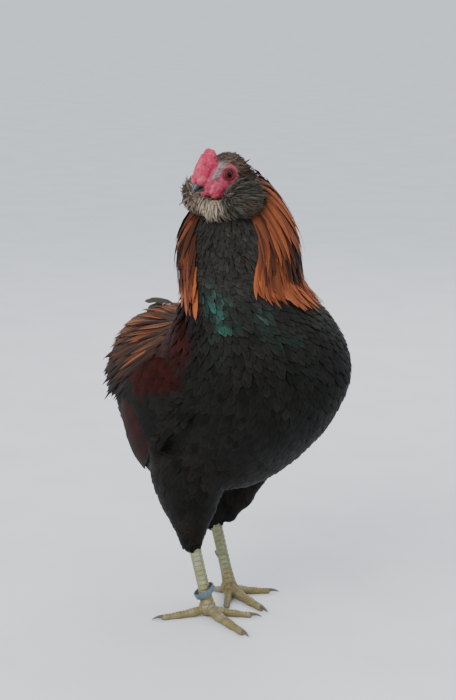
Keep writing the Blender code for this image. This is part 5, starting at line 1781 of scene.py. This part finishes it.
class ARAUCANA_OT_wings(PieceOperator):
    """The folded wings: quills, coverts in tiers and the small feathers of the bow"""

    bl_idname = "araucana.wings"
    bl_label = "Wings"

    def lay(self, coat, flank, along, up, wide, shape, rows, tone, rng, **look):
        """Adds feathers that lie along lines on the wing's face."""
        points, normals, _, _ = flank.frame(along, up)
        # The wing is tucked in at its front and lower edge, under the feathers of the flank
        tuck = smooth_step(-0.002, 0.030, along) * smooth_step(-0.024, -0.002, up + 0.10 * (along - 0.06))
        lifts = rows * np.where(rows > 0, tuck, 1.0) - 0.0040 * (1 - tuck)
        lifts = lifts + 0.0003 * rng.standard_normal(len(along))[:, None]
        places = np.stack([0.02 + 0.96 * np.clip(along[:, 0] / WING_LENGTH, 0, 1), 0.5 + up[:, 0] / 0.12], -1)
        coat.add(points, normals, wide, shape, lifts, tone, places, rng, **look)

    def quills(self, coat, flank, rng, start, ends, across, wide, tone, lift, bend=0.002, tilt=0.13):
        """One tier of feathers laid across the wing, each over the next one down."""
        shares = shares_of(QUILL_SHAPE)
        along = start + (ends[:, None] - start) * shares
        up = across[:, None] * (0.80 + 0.20 * shares) + bend * shares ** 2
        high, low = wing_edges(along)
        up = np.clip(up, low * 0.92, high * 0.92)
        rows = np.interp(shares, (0, 0.3, 1), lift)
        self.lay(coat, flank, along, up, wide, QUILL_SHAPE, rows, tone, rng, corners=7, cup=0.10,
                 ragged=0.03, tilt=-tilt * flank.side)

    def add_primaries(self, coat, flank, rng):
        """The tips of the long quills that show below the secondaries."""
        black = self.colours.black
        part = np.linspace(0, 1, 6)
        tone = tones(6, black, black * 1.2, self.colours.chestnut, strength=0.0, tip_from=0.5, gloss=0.15)
        ends = 0.188 - 0.030 * (1 - part)
        across = -0.026 + 0.006 * part
        lift = (-0.006, -0.005, -0.002)
        self.quills(coat, flank, rng, 0.088, ends, across, 0.0060, tone, lift, bend=-0.006)

    def add_secondaries(self, coat, flank, rng):
        """The chestnut triangle of the folded wing."""
        black = self.colours.black
        part = np.linspace(0, 1, 13)
        across = -0.025 + 0.067 * part
        red = smooth_step(-0.024, -0.012, across) * (1 - smooth_step(0.036, 0.044, across))
        outer = mixed(black, self.colours.chestnut, red) * rng.uniform(0.8, 1.25, 13)[:, None]
        ends = 0.172 - 0.002 * part + rng.uniform(-0.004, 0.004, 13)
        tone = tones(13, outer, (outer + black) / 2, black, strength=0.45, tip_from=0.86)
        self.quills(coat, flank, rng, 0.056, ends, across, 0.0080, tone, (-0.004, -0.0002, 0.0062))

    def add_coverts(self, coat, flank, rng):
        """The black bar across the wing."""
        black = self.colours.black
        bar = mixed(black, self.colours.gleam, 0.02 * rng.uniform(0, 1, 12)) * 0.8
        ends = 0.104 + rng.uniform(-0.004, 0.004, 12)
        across = -0.022 + 0.065 * np.linspace(0, 1, 12)
        tone = tones(12, black, bar, black * 0.5, strength=0.3, tip_from=0.45)
        self.quills(coat, flank, rng, 0.034, ends, across, 0.0078, tone, (-0.004, 0.0006, 0.0034), tilt=0.10)

    def add_bow(self, coat, flank, rng):
        """The small maroon feathers of the bow and shoulder."""
        a, b = rng.uniform(-0.004, 0.090, 9000), rng.uniform(-0.044, 0.048, 9000)
        high, low = wing_edges(a)
        inside = (b < high * 0.97) & (b > low * 0.7) & (a < np.clip(0.036 + 1.6 * b, 0.042, 0.09))
        a, b = a[inside], b[inside]
        kept = thinned(flank.spot(a, b), np.full(len(a), self.plumage.bow_spacing))
        a, b = a[kept], b[kept]
        count = len(a)
        long = np.interp(a, (0.0, 0.06), (0.015, 0.024)) * rng.uniform(0.88, 1.12, count)
        shares = shares_of(ROUND_SHAPE)
        along = a[:, None] + long[:, None] * shares
        up = b[:, None] + (long * rng.normal(0, 0.08, count))[:, None] * shares
        edge = b - 0.011 - 0.42 * (a - 0.030) + 0.004 * noise(flank.spot(a, b), 0.010, 4)
        red = smooth_step(-0.004, 0.004, edge) * smooth_step(0.000, 0.010, a)
        red = red * (1 - smooth_step(0.052, 0.074, a - 0.3 * b))
        ground = mixed(self.colours.black, self.colours.maroon, red) * rng.uniform(0.7, 1.35, count)[:, None]
        tone = tones(
            count, ground * 0.7, ground, self.colours.black, strength=0.30, tip_from=0.4, gloss=0.08,
        )
        wide = np.interp(a, (0, 0.06), (0.0052, 0.0070))
        rows = rising(ROUND_SHAPE, root=-0.002, clear=0.0012, tip=0.0048)
        self.lay(coat, flank, along, up, wide, ROUND_SHAPE, rows, tone, rng, ragged=0.09, cup=0.10)

    def execute(self, context):
        for name, side in SIDES.items():
            rng = np.random.default_rng(61 + side)
            coat = Coat("plumage_wing_" + name)
            for tier in (self.add_primaries, self.add_secondaries, self.add_coverts, self.add_bow):
                tier(coat, WINGS[name], rng)
            coat.build("Wing plumage", "plumage_wing", ("wing_" + name,))
        return {"FINISHED"}


class ARAUCANA_OT_muffs(PieceOperator):
    """The muffs on the cheeks and the beard under the beak, in fine ruffled tufts"""

    bl_idname = "araucana.muffs"
    bl_label = "Muffs and beard"

    def tones(self, local, rng):
        """Grey brown black on the cheeks, pale in front under the beak, dark again below."""
        colours = self.colours
        count = len(local)
        ground = shaken(colours.muff, rng, count, 0.35) * (1 + 0.5 * noise(local, 0.006, 3))[:, None]
        ground = mixed(ground, colours.crown * 0.8, smooth_step(0.0, 0.7, noise(local, 0.010, 5)))
        pale = np.exp(-((local[:, 0] + 0.003) / 0.018) ** 2) * smooth_step(-0.002, 0.008, local[:, 1])
        pale = pale * smooth_step(-0.039, -0.027, local[:, 2])
        pale = np.clip(pale * (1.35 + 0.5 * noise(local, 0.004, 7)) - 0.35 * rng.uniform(0, 1, count), 0, 1)
        ground = np.clip(mixed(ground, colours.beard, pale), 0.002, 1)
        return tones(count, ground * 0.6, ground, ground * 0.5, strength=0.2, tip_from=0.35)

    def add_part(self, name, node, roots, local, hide, rng):
        """The tufts of one muff or of the beard, which lie outwards on the cheeks and down the chin."""
        count = len(roots)
        side = np.sign(local[:, 0])
        high = np.clip((local[:, 2] + 0.020) / 0.018, 0, 1)
        cheek = np.stack([side * 0.55, -0.65 - 0.4 * high, -0.55 + 1.1 * high], -1)
        chin = np.stack([local[:, 0] * 18, np.full(count, 0.15), np.full(count, -0.9)], -1)
        flow = mixed(chin, cheek, smooth_step(0.006, 0.018, np.abs(local[:, 0])))
        curl = np.stack([noise(local, 0.006, seed) for seed in (11, 12, 13)], -1)
        flow = from_head(unit(flow) + 0.55 * curl + rng.normal(0, 0.30, (count, 3)))
        long = 0.0115 * rng.uniform(0.65, 1.35, count) * (1 + 0.25 * noise(local, 0.005, 14))
        points, normals = hide.paths(roots, long, TUFT_SHAPE, lambda *_: flow)
        rise = 0.34 * rng.uniform(0.3, 1.6, count) * np.where(local[:, 0] < 0, 0.95, 1.0)
        wide = 0.00078 * rng.uniform(0.6, 1.4, count)
        Coat(name).add(
            points, normals, wide, TUFT_SHAPE, tuft_lifts(-0.0020, long, rise), self.tones(local, rng),
            head_unwrap(roots), rng, corners=3, cup=0.5, ragged=0.15,
        ).build("Head plumage", "plumage_head", (node,))

    def execute(self, context):
        hide = Hide(fused(ruff_form(0.0), RUFF_GRAIN, 6))
        rng = np.random.default_rng(71)

        def keep(spot):
            local = to_head(spot)
            side = np.abs(local[:, 0])
            return ((side > 0.012) | (local[:, 2] < -0.0180)) & ((local[:, 1] > -0.020) | (side > 0.016))

        roots = hide.seeds(rng, 60000, self.plumage.muff_spacing, keep)
        local = to_head(roots)
        for name, node, part in (
            ("plumage_muff_left", "muff_left", local[:, 0] > BEARD_HALF_WIDE),
            ("plumage_muff_right", "muff_right", local[:, 0] < -BEARD_HALF_WIDE),
            ("plumage_beard_front", "beard", np.abs(local[:, 0]) <= BEARD_HALF_WIDE),
        ):
            self.add_part(name, node, roots[part], local[part], hide, rng)
        return {"FINISHED"}


class ARAUCANA_OT_crown(PieceOperator):
    """The small pointed feathers of the crown and nape, and the dark tufts behind the eyes"""

    bl_idname = "araucana.crown"
    bl_label = "Crown"

    def add_tufts(self, name, hide, rng, gap, keep, longest, wide, rise, tone):
        """Covers one part of the head with tufts that lie back."""
        roots = hide.seeds(rng, 40000, gap, keep)
        count = len(roots)
        local = to_head(roots)
        side = np.clip(local[:, 0] / 0.016, -1, 1)
        flow = np.stack([0.25 * side, np.full(count, -1.0), 0.10 - 0.35 * np.abs(side)], -1)
        flow = from_head(flow + rng.normal(0, 0.20, (count, 3)))
        front = smooth_step(-0.022, 0.012, local[:, 1])
        long = longest * (1 - 0.5 * front) * rng.uniform(0.75, 1.25, count)
        points, normals = hide.paths(roots, long, TUFT_SHAPE, lambda *_: flow, stiff=0.5, slack=0.002)
        lifts = tuft_lifts(-0.0006, long, rise * rng.uniform(0.3, 1.6, count))
        ground = shaken(tone, rng, count, 0.32) * (1 + 0.4 * noise(local, 0.005, 3))[:, None]
        ground = np.clip(mixed(ground, self.colours.down * 1.15, grey_strip(local)), 0.002, 1)
        tone = tones(count, ground * 0.7, ground, ground * 0.5, strength=0.3, tip_from=0.4)
        Coat(name).add(
            points, normals, wide * rng.uniform(0.8, 1.2, count), TUFT_SHAPE, lifts, tone,
            head_unwrap(roots), rng, corners=3, cup=0.4,
        ).build("Head plumage", "plumage_head")

    def execute(self, context):
        hide = Hide(loft_mesh(SKULL, np.linspace(0.0, len(SKULL_RINGS) - 1, 30), 40))

        def crown(spot):
            local = to_head(spot)
            return (bare_share(local) < 0.5) & (local[:, 2] > -0.016) & (comb_distance(local, 1.0) >= 1.1)

        def ear(spot):
            local = to_head(spot)
            away = np.hypot((local[:, 1] + 0.0150) / 0.0080, (local[:, 2] - 0.0010) / 0.0085)
            return (away < 1) & (np.abs(local[:, 0]) > 0.007)

        tone = self.colours.crown
        self.add_tufts("plumage_crown", hide, np.random.default_rng(81), self.plumage.crown_spacing, crown,
                       0.0105, 0.00088, 0.20, tone)
        self.add_tufts("plumage_ear_tufts", hide, np.random.default_rng(83), 0.0016, ear,
                       0.018, 0.00105, 0.36, tone * 0.5)
        return {"FINISHED"}


def toe_way(turn):
    """The way a toe points, from its turn to the left in degrees."""
    yaw = math.radians(turn)
    return Vector((math.sin(yaw), -math.cos(yaw), 0))


def toe_height(thick, part):
    """The height of a toe's middle and its radius, at a share of its length."""
    radius = thick * (1 - 0.38 * part)
    return radius * 0.86 + 0.004 * (1 - part) ** 3, radius


class ARAUCANA_OT_legs(PieceOperator):
    """The bare legs: shank, ankle and toes in one skin, with scutes in front and small scales behind"""

    bl_idname = "araucana.legs"
    bl_label = "Legs"

    def leg_form(self, leg):
        """Shank, ankle, toes and their pads as overlapping bodies."""
        shape = bmesh.new()
        hock, ankle = HOCK[leg], ANKLE[leg]
        for part in np.linspace(0, 1, 27):
            swell = 1 + 0.25 * (2 * part - 1) ** 4
            size = (SHANK_HALF_WIDE * swell, SHANK_HALF_DEEP * swell, 0.0050)
            add_ball(shape, hock.lerp(ankle, part), size, Matrix(), 2)
        add_ball(shape, Vector((ankle.x, ankle.y, 0.0085)), (0.0090, 0.0096, 0.0085), Matrix())
        for _, length, thick, turn in TOES[leg]:
            place = Matrix.Rotation(math.radians(turn), 4, "Z")
            knuckles = 3.0 if length > 0.04 else 1.6
            for part in np.linspace(0, 1, 31):
                # Pads swell between the joints
                swell = 1 + 0.07 * math.cos(part * math.tau * knuckles)
                middle = ankle + toe_way(turn) * (length * 0.965 * part)
                middle.z, radius = toe_height(thick, part)
                size = (radius * swell, radius * 1.1, radius * swell)
                add_ball(shape, (0, 0, 0), size, Matrix.Translation(middle) @ place, 2)
        return fused(shape, LEG_GRAIN, 5)

    def scutes(self, turns, pitch, power, height, width):
        """Plates that rise along their length: how far they lift, and the grooves between them."""
        phase = turns % 1.0
        edge = np.minimum(phase, 1 - phase) * pitch
        return phase ** power * height, np.exp(-(edge / width) ** 2)

    def scaled(self, leg, points, normals):
        """Raises the scales, and tells how deep each point lies in a groove."""
        hock, ankle = np.array(HOCK[leg]), np.array(ANKLE[leg])
        axis = ankle - hock
        part = np.clip(((points - hock) @ axis) / (axis @ axis), 0, 1)
        offset = points - (hock + part[:, None] * axis)
        nearest = np.linalg.norm(offset, axis=-1)
        angle = np.arctan2(offset[:, 0], -offset[:, 1])
        along = part * np.linalg.norm(axis)
        # Large scutes in two offset columns in front, small six-sided scales elsewhere
        turns = along / SHANK_SCUTE + np.where(angle > 0, 0.0, 0.5)
        plate, cut = self.scutes(turns, SHANK_SCUTE, 1.5, 0.00055, 0.00035)
        plate = plate - 0.0002 * np.exp(-(angle / 0.06) ** 2)
        cut = np.maximum(cut, np.exp(-(angle / 0.09) ** 2) * 0.8)
        small, small_cut = self.cells(along, angle * 0.0065, 0.0021)
        front = np.abs(angle) < 1.25
        lift = np.where(front, plate, small * 0.00030)
        groove = np.where(front, cut, small_cut)
        offset = points - ankle
        for _, length, thick, turn in TOES[leg]:
            way = np.array(toe_way(turn))
            along = offset @ way
            share = np.clip(along / length, 0, 1)
            height, _ = toe_height(thick, share)
            side = offset @ np.array([-way[1], way[0], 0.0])
            up = points[:, 2] - height
            far = np.hypot(side, up) + np.abs(along - share * length)
            mine = (far < nearest) & (along > 0.004)
            nearest = np.where(mine, far, nearest)
            angle = np.arctan2(side, up)
            top = np.abs(angle) < 1.05
            plate, cut = self.scutes(along / TOE_SCUTE, TOE_SCUTE, 1.6, 0.00050, 0.00032)
            small, small_cut = self.cells(along, angle * 0.005, 0.0017)
            lift = np.where(mine, np.where(top, plate, small * 0.00028), lift)
            groove = np.where(mine, np.where(top, cut, small_cut), groove)
        return points + normals * lift[:, None], groove

    def cells(self, u, v, size):
        """Domes on a grid of six-sided cells, and the grooves between them."""
        best = np.full(len(u), 1e9)
        second = np.full(len(u), 1e9)
        rows = size * 0.866
        base = np.floor(v / rows)
        for step in (-1, 0, 1, 2):
            row = base + step
            stagger = (row % 2) * 0.5 * size
            near = np.round((u - stagger) / size)
            for side in (-1, 0, 1):
                away = np.hypot(u - stagger - (near + side) * size, v - row * rows)
                second = np.where(away < best, best, np.minimum(second, away))
                best = np.minimum(best, away)
        edge = (second - best) / size
        return smooth_step(0.0, 0.5, edge), np.exp(-(edge / 0.16) ** 2)

    def execute(self, context):
        colours = self.colours
        material = leg_material(colours)
        for leg in SIDES:
            shape = self.leg_form(leg)
            points, groove = self.scaled(leg, coordinates(shape), bmesh_normals(shape))
            points[:, 2] = np.maximum(points[:, 2], 0.0)
            set_coordinates(shape, points)
            tone = mixed(colours.shank, colours.foot, 1 - smooth_step(0.014, 0.040, points[:, 2]))
            tone = tone * (1 + 0.10 * noise(points, 0.006, 3))[:, None]
            finish_piece(
                "leg_" + leg, shape, material, "leg_skin", ("shank_" + leg, "foot_" + leg),
                skin_tone=np.column_stack([np.clip(tone, 0, 1), groove]),
            )
        return {"FINISHED"}


class ARAUCANA_OT_claws(PieceOperator):
    """The curved claws on the toes, and the spurs"""

    bl_idname = "araucana.claws"
    bl_label = "Claws and spurs"

    def horn(self, node, spots, radii, flatten, material):
        """A bent cone of horn through points, with a rounded tip."""
        shape, rings = tube(len(spots), 14)
        for index, (ring, spot, radius) in enumerate(zip(rings, spots, radii)):
            ahead = spots[min(index + 1, len(spots) - 1)] - spots[max(index - 1, 0)]
            turn = ahead.to_track_quat("Z", "Y").to_matrix()
            for vert in ring:
                vert.co = spot + turn @ Vector((vert.co.x * radius, vert.co.y * radius * flatten, 0))
                vert.co.z = max(vert.co.z, 0.00005)
        finish_piece("horn_" + node, shape, material, "claw_horn", (node,))

    def execute(self, context):
        claw = self.colours.claw
        material = horn_material("Claw horn", claw, claw * 2.4, 0.36, (1.0, 0.4, 1.0))
        for leg, side in SIDES.items():
            for toe, length, thick, turn in TOES[leg]:
                part = np.linspace(0, 1, 13)
                radii = thick * 0.50 * (1 - part) ** 0.75 + 0.0003
                heights = thick * 0.62 + 0.0022 * np.sin(part * 2.1) - 0.0034 * part ** 1.5
                reach = length * 0.955 + (CLAW_LENGTH + 0.0015) * part
                spots = [ANKLE[leg] + toe_way(turn) * far for far in reach]
                for spot, height, radius in zip(spots, heights, radii):
                    spot.z = max(height, radius * 1.05)
                self.horn("claw_" + leg + "_" + toe, spots, radii, 0.86, material)
            root = HOCK[leg].lerp(ANKLE[leg], 0.62)
            way = Vector((-side * 0.40, 0.90, 0.14)).normalized()
            part = np.linspace(0, 1, 12)
            reach = 0.004 + (SPUR_LENGTH - 0.004) * part
            spots = [root + way * far + Vector((0, 0, rise)) for far, rise in zip(reach, 0.002 * part ** 2)]
            self.horn("spur_" + leg, spots, 0.0042 * (1 - part) ** 0.85 + 0.0006, 1.0, material)
        return {"FINISHED"}


class ARAUCANA_OT_band(PieceOperator):
    """The plain ring that lies loose round the right leg"""

    bl_idname = "araucana.band"
    bl_label = "Leg ring"

    def execute(self, context):
        shape = bmesh.new()
        wall = (RING_OUTER - RING_INNER) / 2
        middle = (RING_OUTER + RING_INNER) / 2
        section = bmesh.ops.create_grid(shape, x_segments=1, y_segments=1, size=1.0)["verts"]
        for vert in section:
            vert.co = Vector((middle + vert.co.x * wall, 0, vert.co.y * RING_HEIGHT / 2))
        bmesh.ops.delete(shape, geom=shape.faces[:], context="FACES_ONLY")
        bmesh.ops.bevel(shape, geom=shape.verts[:], affect="VERTICES", offset=wall * 0.6, segments=3,
                        profile=0.5, material=-1)
        bmesh.ops.spin(shape, geom=shape.edges[:] + shape.verts[:], cent=(0, 0, 0), axis=(0, 0, 1),
                       angle=math.tau, steps=96, use_merge=True)
        face_out(shape)
        lean = (HOCKS["right"] - ANKLES["right"]).to_track_quat("Z", "Y").to_matrix().to_4x4()
        place = Matrix.Translation(HOCK["right"].lerp(ANKLE["right"], RING_PLACE))
        place = place @ Matrix.Rotation(-RING_TILT, 4, "Y") @ lean
        bmesh.ops.transform(shape, matrix=place, verts=shape.verts[:])
        material = band_material(self.colours)
        finish_piece("leg_band", shape, material, "ring_plastic", ("leg_ring",), SHARP_RING)
        return {"FINISHED"}


class ARAUCANA_OT_stage(PieceOperator):
    """The pale floor, soft lights and the camera"""

    bl_idname = "araucana.stage"
    bl_label = "Stage"

    def aim(self, thing, spot, target):
        """Sets a camera or light in place, turned to its target."""
        thing.location = spot
        thing.rotation_euler = (target - spot).to_track_quat("-Z", "Y").to_euler()
        bpy.context.scene.collection.objects.link(thing)

    def light(self, name, power, size, spot, colour):
        """Adds a soft light that shines on the bird."""
        data = bpy.data.lights.new(name, "AREA")
        data.energy = power
        data.size = size
        data.color = colour
        self.aim(bpy.data.objects.new(name, data), spot, Vector((0, 0, 0.25)))

    def execute(self, context):
        stage = context.scene.araucana_stage
        floor = bmesh.new()
        bmesh.ops.create_grid(floor, x_segments=1, y_segments=1, size=30.0)
        mesh = bpy.data.meshes.new("floor")
        floor.to_mesh(mesh)
        floor.free()
        thing = bpy.data.objects.new("floor", mesh)
        context.scene.collection.objects.link(thing)
        material, n, shader = new_material("Floor", stage.floor, 0.85)
        dust = n.ramp(n.noise(n.place(), 9.0, 4.0), 0.3, 0.8)
        pale = np.array(stage.floor)
        n.put(n.mix(dust, pale, pale * 0.94), shader.inputs["Base Color"])
        mesh.materials.append(material)

        flat = Vector((math.sin(stage.turn), -math.cos(stage.turn), 0))
        back = flat * math.cos(stage.rise) + Vector((0, 0, math.sin(stage.rise)))
        right = Vector((math.cos(stage.turn), math.sin(stage.turn), 0))
        centre = Vector((0, 0, stage.height))
        data = bpy.data.cameras.new("camera")
        data.sensor_fit = "VERTICAL"
        data.sensor_height = 36.0
        data.lens = stage.lens
        camera = bpy.data.objects.new("camera", data)
        # The bird stands a little left of the frame's middle and low in it
        target = centre + right * 0.0051 + back.cross(right) * 0.0381
        self.aim(camera, centre + back * stage.distance, target)
        context.scene.camera = camera

        world = bpy.data.worlds.new("world")
        world.use_nodes = True
        shade = world.node_tree.nodes["Background"]
        shade.inputs["Color"].default_value = (0.86, 0.90, 0.96, 1.0)
        shade.inputs["Strength"].default_value = stage.sky
        context.scene.world = world
        key = centre + flat * 1.2 - right * 0.9 + Vector((0, 0, 1.1))
        fill = centre + flat * 1.0 + right * 1.5 + Vector((0, 0, 0.6))
        rim = centre - flat * 1.3 + right * 0.5 + Vector((0, 0, 1.2))
        self.light("key", stage.key, 1.2, key, (1.0, 0.98, 0.95))
        self.light("fill", stage.fill, 1.5, fill, (0.95, 0.97, 1.0))
        self.light("rim", stage.rim, 1.0, rim, (1.0, 1.0, 1.0))
        return {"FINISHED"}


class ARAUCANA_PT_panel(bpy.types.Panel):
    """Lists the bird's pieces"""

    bl_label = "Araucana cock"
    bl_idname = "ARAUCANA_PT_panel"
    bl_space_type = "VIEW_3D"
    bl_region_type = "UI"
    bl_category = "Araucana"

    def draw(self, context):
        for group, kind in SETTINGS.items():
            box = self.layout.box()
            for name in kind.__annotations__:
                box.prop(getattr(context.scene, group), name)
        for operator in PIECES:
            self.layout.operator(operator.bl_idname)


PIECES = (
    ARAUCANA_OT_stage, ARAUCANA_OT_skin, ARAUCANA_OT_eyes, ARAUCANA_OT_beak, ARAUCANA_OT_legs,
    ARAUCANA_OT_claws, ARAUCANA_OT_band, ARAUCANA_OT_body_coat, ARAUCANA_OT_wings,
    ARAUCANA_OT_saddle, ARAUCANA_OT_hackles, ARAUCANA_OT_muffs, ARAUCANA_OT_crown,
)
CLASSES = (*PIECES, ARAUCANA_PT_panel)
SETTINGS = {
    "araucana_colours": ARAUCANA_PG_colours, "araucana_plumage": ARAUCANA_PG_plumage,
    "araucana_head": ARAUCANA_PG_head, "araucana_stage": ARAUCANA_PG_stage,
}


def register():
    for name, settings in SETTINGS.items():
        bpy.utils.register_class(settings)
        setattr(bpy.types.Scene, name, PointerProperty(type=settings))
    for kind in CLASSES:
        bpy.utils.register_class(kind)


def unregister():
    for kind in reversed(CLASSES):
        bpy.utils.unregister_class(kind)
    for name, settings in SETTINGS.items():
        delattr(bpy.types.Scene, name)
        bpy.utils.unregister_class(settings)


def main():
    register()
    for piece in PIECES:
        group, name = piece.bl_idname.split(".")
        getattr(getattr(bpy.ops, group), name)()


if __name__ == "__main__":
    main()
